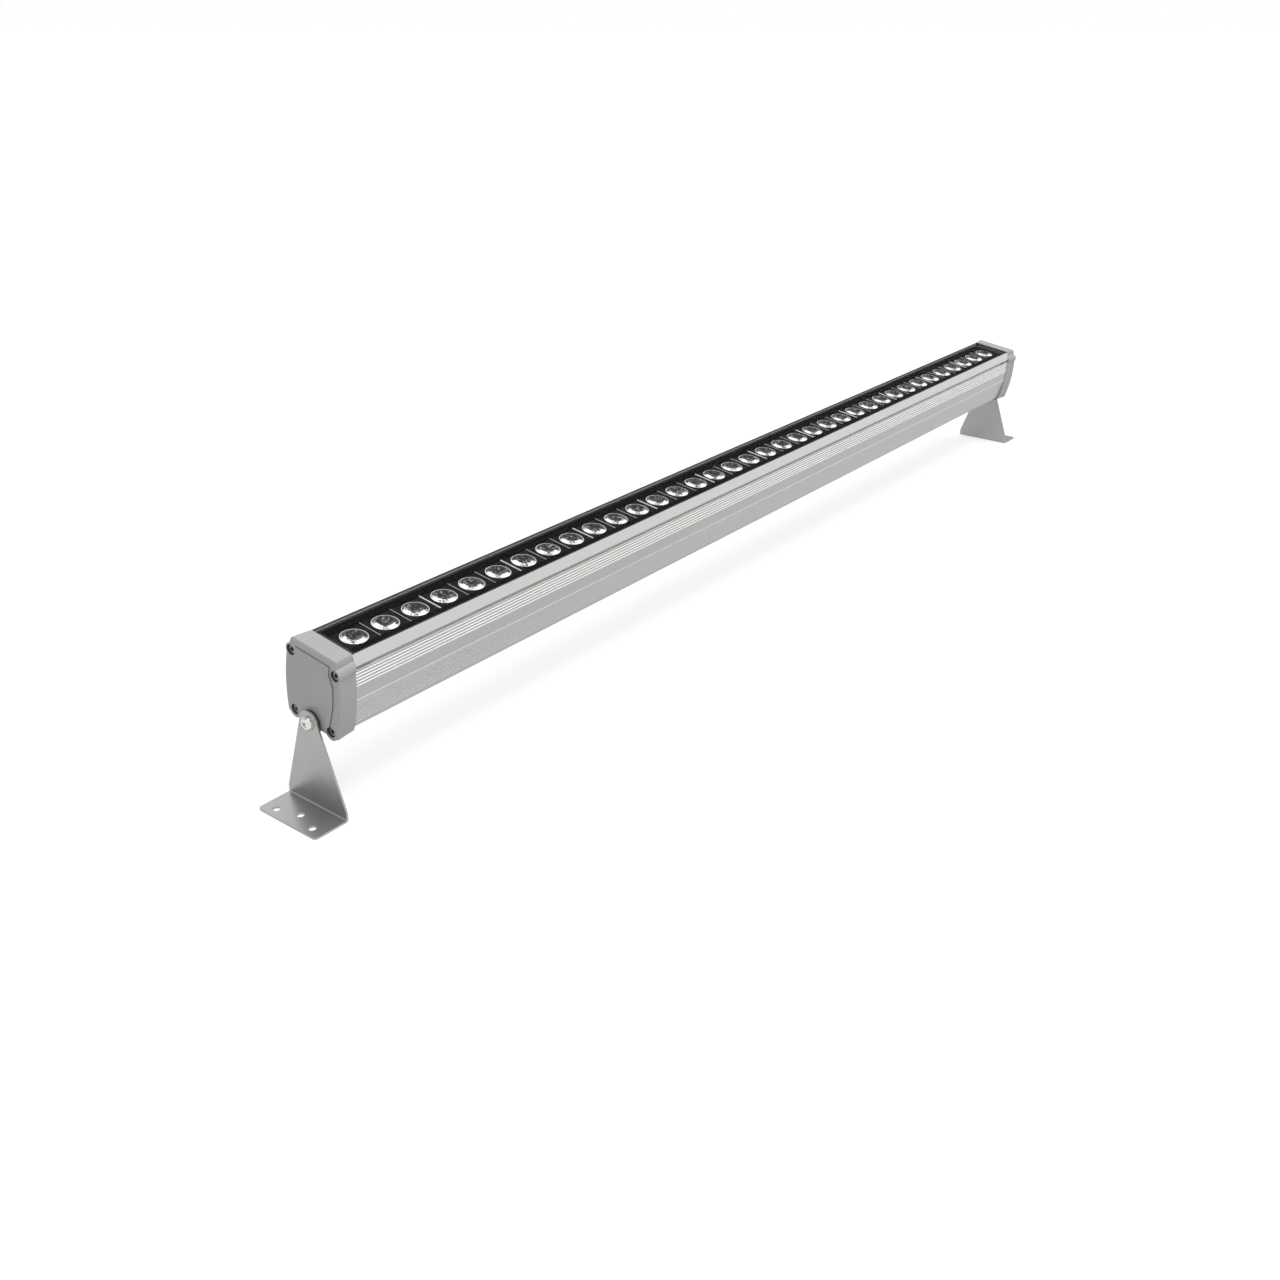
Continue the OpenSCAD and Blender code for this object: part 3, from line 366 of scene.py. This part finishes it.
# %% Boards, wires and driver
solder_mask = Finish("white_solder_mask", grey(0.75, 0.04), 0.45)
solder_mask.feed("Base Color", solder_mask.blend(
    solder_mask.noise(260, 1, stretch=(1, 0.3, 1)) > 0.62, (0.8, 0.8, 0.76), (0.7, 0.68, 0.55)))

phosphor = Finish("yellow_phosphor", (0.85, 0.62, 0.12), 0.35)
phosphor.feed("Base Color", phosphor.blend(phosphor.noise(900), (0.85, 0.6, 0.1), (0.9, 0.72, 0.2)))

thermal = Finish("grey_thermal_pad", (0.35, 0.37, 0.4), 0.8)
thermal.feed("Base Color", thermal.blend(thermal.noise(500), (0.3, 0.32, 0.35), (0.4, 0.42, 0.45)))
thermal.bump(thermal.noise(900), 0.3, 0.0003)

red_wire = Finish("red_wire_jacket", (0.5, 0.03, 0.03), 0.4)
red_wire.feed("Roughness", 0.33 + red_wire.noise(600) * 0.16)

blue_wire = Finish("blue_wire_jacket", (0.04, 0.08, 0.4), 0.4)
blue_wire.feed("Roughness", 0.33 + blue_wire.noise(600) * 0.16)

driver_tin = Finish("driver_case_aluminium", grey(0.55, -0.03), 0.35, 0.9)
driver_tin.feed("Roughness", 0.28 + driver_tin.noise(500, 2, stretch=(0.05, 1, 1)) * 0.2)

green_mask = Finish("green_solder_mask", (0.02, 0.16, 0.05), 0.35)
green_mask.feed("Base Color", green_mask.blend(
    green_mask.noise(300, 1, stretch=(0.3, 1, 1)) > 0.55, (0.02, 0.15, 0.05), (0.03, 0.24, 0.08)))

component = Finish("component_sleeve", (0.03, 0.03, 0.05), 0.35)
component.feed("Roughness", 0.28 + component.noise(500) * 0.18)

terminal_plastic = Finish("cream_terminal_plastic", (0.75, 0.72, 0.62), 0.45)
terminal_plastic.feed("Roughness", 0.4 + terminal_plastic.noise(700) * 0.14)
print("finishes made:", len(bpy.data.materials))

# %% [markdown]
# ## Dressing the frame
# Each CAD node names a material slot in the record, and the slot picks its finish.

# %% Finishes by material slot
SLOT_FINISH = {
    "bracket_steel": brushed, "pivot_steel": bright_steel, "spacer_rubber": rubber,
    "housing_aluminium": anodised, "cap_grey": powder, "gasket_rubber": rubber,
    "screw_steel": dull_steel, "washer_nylon": nylon, "cover_glass": pane,
    "seal_black": rubber, "holder_black": satin_black, "lens_clear": crystal,
    "board_white": solder_mask, "emitter_yellow": phosphor, "lead_red": red_wire,
    "lead_blue": blue_wire, "pad_grey": thermal, "driver_silver": driver_tin,
    "driver_green": green_mask, "driver_dark": component, "terminal_cream": terminal_plastic,
    "gland_black": gland_nylon}
node_slot = {part["node"]: part["material_slot"] for part in frame["record"]["subparts"]}
for name, node in frame["nodes"].items():
    node.data.materials.clear()
    node.data.materials.append(SLOT_FINISH[node_slot[name]].material)
print("dressed", len(node_slot), "nodes")

# %% [markdown]
# ## Finishing a piece
# A bmesh is turned into an object at the origin. Pieces of the lamp are drawn upright, so they
# are leaned here. Round faces are smoothed by the angle between them, and weighted normals
# let the big flat faces win, so that a rounded edge doesn't bend the light on the face beside it.

# %% From bmesh to piece
def finish_piece(bm, name, body, finish, leaned=True, smooth=35):
    """Makes a piece of a bmesh, smooth up to an angle in degrees, and rides it on a body."""
    if leaned:
        bm.transform(LAMP)
    bmesh.ops.recalc_face_normals(bm, faces=bm.faces)
    mesh = bpy.data.meshes.new(name)
    bm.to_mesh(mesh)
    bm.free()
    mesh.shade_smooth()
    mesh.set_sharp_from_angle(angle=math.radians(smooth))
    mesh.materials.append(finish.material)
    piece = bpy.data.objects.new(name, mesh)
    bpy.context.scene.collection.objects.link(piece)
    even = piece.modifiers.new("even_shading", "WEIGHTED_NORMAL")
    even.keep_sharp = True
    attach(piece, body)
    return piece


def soften(bm, edges, radius, segments=2):
    """Rounds edges with a small bevel."""
    bmesh.ops.bevel(bm, geom=edges, offset=radius, offset_type="OFFSET", affect="EDGES",
                    segments=segments, profile=0.5, material=-1, clamp_overlap=True)


def hard_edges(bm, angle):
    """The edges whose two faces meet at more than an angle in degrees."""
    return [e for e in bm.edges
            if len(e.link_faces) == 2 and e.calc_face_angle(0) > math.radians(angle)]


# %% [markdown]
# ## Brackets, caps and small hardware
# These have the right shape in the CAD model, but real edges are never razor sharp: they catch
# a thin line of light. A copy of the CAD mesh is merged, its flat faces are joined again, and
# its hard edges get a small rounded bevel.

# %% Rounded copies
MERGE = 0.01 * MM
HARD_ANGLE = 30


def merged_copy(node):
    """The mesh of a CAD node with its triangles joined into flat faces."""
    bm = bmesh.new()
    bm.from_mesh(frame["nodes"][node].data)
    bmesh.ops.remove_doubles(bm, verts=bm.verts, dist=MERGE)
    bmesh.ops.dissolve_limit(bm, angle_limit=math.radians(1), verts=bm.verts, edges=bm.edges)
    return bm


def rounded_copy(node, name, body, radius):
    """Replaces a CAD node by a copy with rounded edges."""
    bm = merged_copy(node)
    soften(bm, hard_edges(bm, HARD_ANGLE), radius)
    piece = finish_piece(bm, name, body, SLOT_FINISH[node_slot[node]],
                         leaned=False)
    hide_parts(node)
    return piece


for side in ("left", "right"):
    rounded_copy("bracket_" + side, "steel_bracket_" + side, "bracket_" + side, 0.2 * MM)
rounded_copy("pivot_washers", "spring_washers", "lamp", 0.1 * MM)
rounded_copy("cap_screws", "socket_cap_screws", "lamp", 0.25 * MM)
print("brackets and hardware rounded")

# %% [markdown]
# The cap's front is a thin raised panel, and shade falls along its outline. So the
# edges of that step stay crisp, and the faces of the step carry an attribute that paints that shade
# into the powder coat. The insides of the counterbores of the four screws get the same painted
# shade.
# They lie in ears at the corners, whose thin walls stay sharp. All other edges are rounded.

# %% Axes of the cap screws
ROW_DIVIDE = 20 * MM
heads = [UPRIGHT @ v.co for v in frame["nodes"]["cap_screws"].data.vertices]
screw_axes = []
for behind in (True, False):
    for upper in (True, False):
        group = [p for p in heads if (p.y > 0) == behind and (p.z > ROW_DIVIDE) == upper]
        ys, zs = [p.y for p in group], [p.z for p in group]
        screw_axes.append(((min(ys) + max(ys)) / 2, (min(zs) + max(zs)) / 2))
print("screw axes in mm:", [(round(y / MM, 1), round(z / MM, 1)) for y, z in screw_axes])

# %% End caps
PANEL_STEP = 0.6 * MM
STEP_SLACK = 0.1 * MM
COUNTERBORE_R = 4.0 * MM
EAR_R = 6.5 * MM
SHORTEST_ROUNDED = 0.6 * MM
CAP_ROUNDING = 0.3 * MM
CAP_HARD_ANGLE = 50


def cast_cap(side):
    """Replaces an end cap by a copy with rounded edges and a painted shade attribute on its faces.
    """
    node = "end_cap_" + side
    low, high = upright_box(node)
    panel_face = max(abs(low.x), abs(high.x))

    def on_step(x):
        return abs(x) > panel_face - PANEL_STEP - STEP_SLACK

    def from_screw(point):
        """The way from the nearest screw axis to a point, and whether it is below the front."""
        q = UPRIGHT @ point
        y, z = min(screw_axes, key=lambda a: math.hypot(q.y - a[0], q.z - a[1]))
        return Vector((0, q.y - y, q.z - z)), abs(q.x) < panel_face - 2 * PANEL_STEP

    def in_counterbore(face):
        way, below = from_screw(face.calc_center_median())
        normal = UPRIGHT.to_3x3() @ face.normal
        return below and way.length < COUNTERBORE_R and normal.dot(way) < 0.2 * way.length

    def on_ear(edge):
        found = [from_screw(v.co) for v in edge.verts]
        return all(below and way.length < EAR_R for way, below in found)

    bm = merged_copy(node)
    rounded = [e for e in hard_edges(bm, CAP_HARD_ANGLE)
               if e.calc_length() > SHORTEST_ROUNDED
               and not all(on_step(v.co.x) for v in e.verts) and not on_ear(e)]
    soften(bm, rounded, CAP_ROUNDING)
    # Painted shade: the step faces of the panel and the insides of the counterbores are marked to
    # be darkened.
    layer = bm.faces.layers.float.new("seam")
    for face in bm.faces:
        step = abs(face.normal.x) < 0.5 and on_step(face.calc_center_median().x)
        if step or in_counterbore(face):
            face[layer] = 1
    piece = finish_piece(bm, "cast_end_cap_" + side, "lamp", powder, leaned=False)
    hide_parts(node)
    return piece


for side in ("left", "right"):
    print(cast_cap(side).name, "has its seam")

# %% [markdown]
# ## Pivot screws
# A pan head is a turned part: its outline is spun about the screw's axis. The cross recess is
# pressed in, so a cross of four wedges is cut out of the head with a Boolean modifier.

# %% Cutting one bmesh with another
def carve(bm, cutter):
    """Returns bm with the cutter's volume taken out. Both bmeshes are used up."""
    pair = []
    for part, label in ((bm, "blank"), (cutter, "cutter")):
        bmesh.ops.recalc_face_normals(part, faces=part.faces)
        mesh = bpy.data.meshes.new(label)
        part.to_mesh(mesh)
        part.free()
        pair.append(bpy.data.objects.new(label, mesh))
        bpy.context.scene.collection.objects.link(pair[-1])
    cut = pair[0].modifiers.new("cut", "BOOLEAN")
    cut.operation = "DIFFERENCE"
    cut.object = pair[1]
    seen = pair[0].evaluated_get(bpy.context.evaluated_depsgraph_get())
    result = bmesh.new()
    result.from_mesh(seen.data)
    for item in pair:
        mesh = item.data
        bpy.data.objects.remove(item)
        bpy.data.meshes.remove(mesh)
    return result


# %% Sizes of the pivot screws, taken from the frame
low, high = upright_box("pivot_screws")
HEAD_R = (high.y - low.y) / 2
HEAD_SEAT = upright_box("pivot_washers")[1].x
HEAD_TOP = high.x
HEAD_H = HEAD_TOP - HEAD_SEAT
shank = [UPRIGHT @ v.co for v in frame["nodes"]["pivot_screws"].data.vertices]
SHANK_R = max(math.hypot(p.y, p.z) for p in shank if 0 < p.x < HEAD_SEAT - 1 * MM)
SHANK_LENGTH, TIP_LENGTH = 12 * MM, 0.6 * MM
print("head", round(2 * HEAD_R / MM, 2), "mm wide and", round(HEAD_H / MM, 2), "mm high")

# %% Blank of a pan-head screw
FINE_MERGE = 0.002 * MM
PAN_HEAD = ((0, 0), (0.02, 0.3), (0.1, 0.58), (0.26, 0.8), (0.5, 0.95), (0.72, 1),
            (0.94, 0.99), (1, 0.96))  # depth below the crown and radius, as shares of the head's


def screw_blank():
    """A pan-head screw without its recess, on the X axis at the far end."""
    outline = [(HEAD_TOP - depth * HEAD_H, radius * HEAD_R) for depth, radius in PAN_HEAD]
    shank_end = HEAD_SEAT - SHANK_LENGTH
    outline += [(HEAD_SEAT, SHANK_R), (shank_end, SHANK_R), (shank_end - TIP_LENGTH, 0)]
    bm = bmesh.new()
    line = [bm.verts.new((x, r, 0)) for x, r in outline]
    edges = [bm.edges.new(pair) for pair in zip(line, line[1:])]
    bmesh.ops.spin(bm, geom=line + edges, cent=(0, 0, 0), axis=(1, 0, 0), angle=math.tau,
                   steps=40, use_merge=True)
    bmesh.ops.remove_doubles(bm, verts=bm.verts, dist=FINE_MERGE)
    return bm


# %% Cross recess
ARM_WIDTH, ARM_REACH, RECESS_DEPTH = 0.2 * HEAD_R, 0.44 * HEAD_R, 0.65 * HEAD_H
RECESS_TURN = math.radians(35)


def cross_cutter():
    """A square post with four wedges on its sides, centred on the top of the head."""
    bm = bmesh.new()
    bmesh.ops.create_cube(bm, size=1)
    for v in bm.verts:
        v.co = Vector((HEAD_TOP + v.co.x * 2 * RECESS_DEPTH, v.co.y * ARM_WIDTH,
                       v.co.z * ARM_WIDTH))
    sides = [f for f in bm.faces if abs(f.normal.x) < 0.5]
    for face in bmesh.ops.extrude_discrete_faces(bm, faces=sides)["faces"]:
        away = face.normal * ARM_REACH
        for v in face.verts:
            v.co += away * (1 if v.co.x > HEAD_TOP else 0.5)
    bmesh.ops.rotate(bm, verts=bm.verts, cent=(0, 0, 0),
                     matrix=Matrix.Rotation(RECESS_TURN, 3, "X"))
    return bm


# %% Both pivot screws
screws = carve(screw_blank(), cross_cutter())
mirrored = screws.copy()
bmesh.ops.scale(mirrored, vec=(-1, 1, 1), verts=mirrored.verts)
near_screw = bpy.data.meshes.new("near_screw")
mirrored.to_mesh(near_screw)
mirrored.free()
screws.from_mesh(near_screw)
bpy.data.meshes.remove(near_screw)
piece = finish_piece(screws, "pan_head_pivot_screws", "lamp", bright_steel,
                     smooth=40)
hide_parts("pivot_screws")
print("pivot screws made:", len(piece.data.polygons), "faces")

# %% [markdown]
# ## Lens modules
# Under the glass lie twelve modules of three cells. Each module has a smoked plate with three
# moulded lenses standing a little proud of it, and thin clear edges between the cells carry painted
# highlights where they catch the light. A lens face is a turned shape: a low crown that falls to a
# dished middle.

# %% Sizes of the cells, taken from the frame
modules = sorted(n for n in frame["nodes"] if n.startswith("lens_plate_"))
plate_low, plate_high = upright_box(modules[0])
MODULE = upright_box(modules[1])[0].x - plate_low.x
PITCH = MODULE / 3
LENS_R = 9.6 * MM
CROWN = plate_high.z
PLATE_TOP = CROWN - 0.7 * MM
PLATE_HALF = plate_high.y
ROUND_STEPS = 44
print("cell pitch", round(PITCH / MM, 2), "mm, lens crown at", round(CROWN / MM, 2), "mm")

# %% Lens faces
FOOT_AND_WALL = [(0, -4.0), (9.0, -4.0), (9.6, -1.2), (9.6, -0.75)]  # radius, height in mm
RIM_AND_GROOVE = [(9.35, -0.62), (9.1, -0.72), (8.7, -0.5)]
CROWN_AND_DISH = [(7.4, -0.12), (6.2, 0), (5.3, -0.12), (4.7, -0.55), (3.4, -0.95),
                  (1.8, -1.1), (0, -1.15)]


def lens_face(bm, x):
    """Spins one closed lens, with its crown at CROWN, about an upright axis at x."""
    outline = FOOT_AND_WALL + RIM_AND_GROOVE + CROWN_AND_DISH
    line = [bm.verts.new((x + r * MM, 0, CROWN + z * MM)) for r, z in outline]
    edges = [bm.edges.new(pair) for pair in zip(line, line[1:])]
    bmesh.ops.spin(bm, geom=line + edges, cent=(x, 0, 0), axis=(0, 0, 1),
                   angle=math.tau, steps=ROUND_STEPS, use_merge=True)


def lens_row(node):
    """The three lenses of a module, each with its place across the lens as an attribute."""
    low, high = upright_box(node)
    middle = (low.x + high.x) / 2
    centres = [middle + i * PITCH for i in (-1, 0, 1)]
    bm = bmesh.new()
    for x in centres:
        lens_face(bm, x)
    bmesh.ops.remove_doubles(bm, verts=bm.verts, dist=FINE_MERGE)
    spots = []
    for v in bm.verts:
        x = min(centres, key=lambda c: abs(v.co.x - c))
        spots.append(((v.co.x - x) / LENS_R, v.co.y / LENS_R, 0))
    piece = finish_piece(bm, node.replace("lens_plate", "lens_row"), "lamp", crystal,
                         smooth=50)
    place = piece.data.attributes.new("lens_place", "FLOAT_VECTOR", "POINT")
    place.data.foreach_set("vector", [c for spot in spots for c in spot])
    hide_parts(node)
    return piece


for node in modules:
    lens_row(node)
print("lens rows:", len(modules))

# %% Smoked plates with three round holes
PLATE_T = 0.6 * MM
PLATE_ROUNDING = 0.1 * MM
HOLE_R = LENS_R + 0.02 * MM
CUTTER_H = 4 * MM


def smoked_plate(node):
    """A thin plate as long as a module, with a hole round each of its lenses."""
    low, high = upright_box(node)
    middle = (low.x + high.x) / 2
    bm = bmesh.new()
    bmesh.ops.create_cube(bm, size=1)
    size = Vector((high.x - low.x, 2 * PLATE_HALF, PLATE_T))
    for v in bm.verts:
        v.co = Vector([a * b for a, b in zip(v.co, size)])
        v.co += Vector((middle, 0, PLATE_TOP - PLATE_T / 2))
    soften(bm, list(bm.edges), PLATE_ROUNDING, 1)
    cutter = bmesh.new()
    for i in (-1, 0, 1):
        hole = Matrix.Translation((middle + i * PITCH, 0, PLATE_TOP))
        bmesh.ops.create_cone(cutter, cap_ends=True, segments=ROUND_STEPS, radius1=HOLE_R,
                              radius2=HOLE_R, depth=CUTTER_H, matrix=hole)
    return finish_piece(carve(bm, cutter), node.replace("lens_plate", "smoked_plate"), "lamp",
                        smoke, smooth=30)


for node in modules:
    smoked_plate(node)
print("smoked plates:", len(modules))

# %% Clear edges between the cells
CELL_EDGE = (0.4 * MM, 0.5 * MM)  # width and height
MODULE_EDGE = (0.85 * MM, 0.7 * MM)


def clear_edge(bm, x, width, height):
    """A strip across the bar that narrows upwards and stands in the plates' top faces."""
    made = bmesh.ops.create_cube(bm, size=1)["verts"]
    for v in made:
        slim = 0.6 if v.co.z > 0 else 1
        v.co = Vector((x + v.co.x * width * slim, v.co.y * 2 * PLATE_HALF,
                       PLATE_TOP + (v.co.z + 0.4) * height))


inner, outer = bmesh.new(), bmesh.new()
for node in modules:
    low, high = upright_box(node)
    for i in (1, 2):
        clear_edge(inner, low.x + i * PITCH, *CELL_EDGE)
    if node != modules[-1]:
        clear_edge(outer, high.x + (MODULE - (high.x - low.x)) / 2, *MODULE_EDGE)
finish_piece(inner, "edges_between_cells", "lamp", faint_edge_highlight)
finish_piece(outer, "edges_between_modules", "lamp", edge_highlight)
print("clear edges made")

# %% [markdown]
# A bead of black sealant closes the gap round the glass. On the long sides it laps over the
# inner half of the housing's lip, which is why the lip shows as a thin line.

# %% Sealant beads
glass_low, glass_high = upright_box("cover_glass")
LIP_TOP = upright_box("housing_profile")[1].z
BEAD_WIDTH, BEAD_HEIGHT = 1.1 * MM, 0.5 * MM
BEAD_LAP, END_BEAD_SINK = 0.2 * MM, 0.05 * MM
BEAD_ROUNDING = 0.15 * MM


def bead_bar(bm, middle, size):
    """A low bar with its upper edges rounded."""
    bar = bmesh.ops.create_cube(bm, size=1)["verts"]
    for v in bar:
        v.co = Vector([m + s * c for m, s, c in zip(middle, size, v.co)])
    crest = {e for v in bar for e in v.link_edges
             if min(w.co.z for w in e.verts) > middle[2]}
    soften(bm, list(crest), BEAD_ROUNDING)


bm = bmesh.new()
glass_size = glass_high - glass_low
for side in (-1, 1):
    bead_bar(bm, (0, side * (glass_high.y + BEAD_LAP), LIP_TOP),
             (glass_size.x, BEAD_WIDTH, BEAD_HEIGHT))
    bead_bar(bm, (side * (glass_high.x - BEAD_WIDTH / 2), 0, LIP_TOP - END_BEAD_SINK),
             (BEAD_WIDTH, glass_size.y - BEAD_WIDTH, BEAD_HEIGHT))
finish_piece(bm, "sealant_beads", "lamp", rubber)
print("sealant beads made")

# %% [markdown]
# ## Cable gland
# The supply cable enters through a nylon gland on the far cap. Its clamping nut has grip ribs
# all round, which are added to the turned nut of the frame.

# %% Gland
GRIP_RIBS = 16
RIB_WIDTH, RIB_HEIGHT = 1.3 * MM, 0.9 * MM
RIB_MIDDLE, RIB_LENGTH = 0.36, 0.6  # shares of the nut's length
rounded_copy("gland_body", "gland_hexagon", "lamp", 0.4 * MM)
low, high = upright_box("gland_nut")
bm = bmesh.new()
bm.from_mesh(frame["nodes"]["gland_nut"].data)
bmesh.ops.remove_doubles(bm, verts=bm.verts, dist=MERGE)
bm.transform(UPRIGHT)
centre = (low + high) / 2
radius = (high.y - low.y) / 2
for i in range(GRIP_RIBS):
    rib = bmesh.ops.create_cube(bm, size=1)["verts"]
    for v in rib:
        slim = 0.5 if v.co.z > 0 else 1
        along = RIB_MIDDLE + RIB_LENGTH * v.co.x
        v.co = Vector((low.x + along * (high.x - low.x), v.co.y * RIB_WIDTH * slim,
                       radius + v.co.z * RIB_HEIGHT))
    turn = Matrix.Rotation(math.radians(i * 360 / GRIP_RIBS), 3, "X")
    bmesh.ops.rotate(bm, verts=rib, cent=(0, 0, 0), matrix=turn)
    bmesh.ops.translate(bm, verts=rib, vec=(0, centre.y, centre.z))
piece = finish_piece(bm, "gland_clamping_nut", "lamp", gland_nylon)
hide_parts("gland_nut")
print("gland made")

# %% [markdown]
# ## Studio
# The camera stands where the photograph was taken from. Its place, focal length and image
# centre were worked out from the known spacing of the lenses. The focal length and centre are
# in pixels of the square photograph, and Blender wants millimetres and shares of the frame.

# %% Camera
CAMERA_PLACE = Vector((-970.6, -640.3, 499.7)) * MM
AZIMUTH, ELEVATION = math.radians(-51.99), math.radians(24.05)
back = Vector((math.sin(AZIMUTH) * math.cos(ELEVATION), -math.cos(AZIMUTH) * math.cos(ELEVATION),
               math.sin(ELEVATION)))
IMAGE = 1280
SENSOR = 36
FOCAL, CENTRE = 1334.7, (648.5, 586.3)
view = bpy.data.cameras.new("camera")
view.sensor_width = SENSOR
view.lens = FOCAL / IMAGE * SENSOR
view.shift_x = (IMAGE / 2 - CENTRE[0]) / IMAGE
view.shift_y = (CENTRE[1] - IMAGE / 2) / IMAGE
view.clip_end = 20
camera = bpy.data.objects.new("camera", view)
camera.location = CAMERA_PLACE
camera.rotation_euler = back.to_track_quat("Z", "Y").to_euler()
bpy.context.scene.collection.objects.link(camera)
bpy.context.scene.camera = camera
print("focal length", round(view.lens, 2), "mm")

# %% [markdown]
# The floor is pale and reaches past the view. For the camera, and for what metal and glass
# mirror, it glows a little on top of the light that falls on it, so that it is white where it
# is lit and a soft grey in the object's shadow.

# %% Floor
FLOOR_HALF = 60
bm = bmesh.new()
bmesh.ops.create_grid(bm, x_segments=1, y_segments=1, size=FLOOR_HALF)
mesh = bpy.data.meshes.new("floor")
bm.to_mesh(mesh)
bm.free()
floor = bpy.data.objects.new("floor", mesh)
bpy.context.scene.collection.objects.link(floor)
pale = Finish("pale_floor", grey(0.42), 0.9, Specular_IOR_Level=0.0)
pale.shader.inputs["Emission Strength"].default_value = 1
pale.feed("Emission Color", pale.blend(pale.seen_directly(), grey(0.0), grey(0.62)))
mesh.materials.append(pale.material)
print("floor", 2 * FLOOR_HALF, "m wide")

# %% [markdown]
# The world is white along the horizon, as the sweep of a studio is, and falls to grey overhead.
# So steel and glass that face upwards mirror something darker than the white floor.

# %% World
SWEEP_START, SWEEP_END = 0.2, 0.5  # sines of the height above the horizon
HORIZON, OVERHEAD, AMBIENT = 1.0, 0.5, 0.45
world = bpy.data.worlds.new("studio")
world.use_nodes = True
bpy.context.scene.world = world
dome = NodeTree(world.node_tree)
ground = dome.tree.nodes["Background"]
ground.inputs["Strength"].default_value = 1.0
direction = dome.node("ShaderNodeTexCoord", output="Generated")
rise = dome.node("ShaderNodeSeparateXYZ", {}, {"Vector": direction}, output="Z")
sweep = dome.node("ShaderNodeMapRange", {"interpolation_type": "SMOOTHSTEP"}, {
    "Value": rise, "From Min": SWEEP_START, "From Max": SWEEP_END})
backdrop = dome.blend(sweep, grey(HORIZON), grey(OVERHEAD))
shown = dome.blend(dome.seen_directly(), grey(AMBIENT), backdrop)
dome.tree.links.new(shown.socket, ground.inputs["Color"])
bpy.context.scene.view_settings.view_transform = "Standard"
print("world made")

# %% [markdown]
# A sun lamp lights the endless floor evenly, and a wide angle turns it into a big soft lamp.

# %% Soft lamps
def soft_sun(name, towards, strength, angle):
    """A sun that stands in a direction as seen from the object, as wide as an angle in degrees."""
    data = bpy.data.lights.new(name, "SUN")
    data.energy = strength
    data.angle = math.radians(angle)
    lamp = bpy.data.objects.new(name, data)
    lamp.rotation_euler = Vector(towards).to_track_quat("Z", "Y").to_euler()
    bpy.context.scene.collection.objects.link(lamp)
    return lamp


soft_sun("top_light", (0.1, -0.35, 1.0), 2.4, 50)
soft_sun("side_light", (-0.2, -1.0, 0.5), 0.5, 40)
soft_sun("end_light", (-1.0, 0.1, 0.5), 0.35, 40)
soft_sun("back_light", (0.3, 1.0, 0.6), 0.45, 40)
print("studio ready")
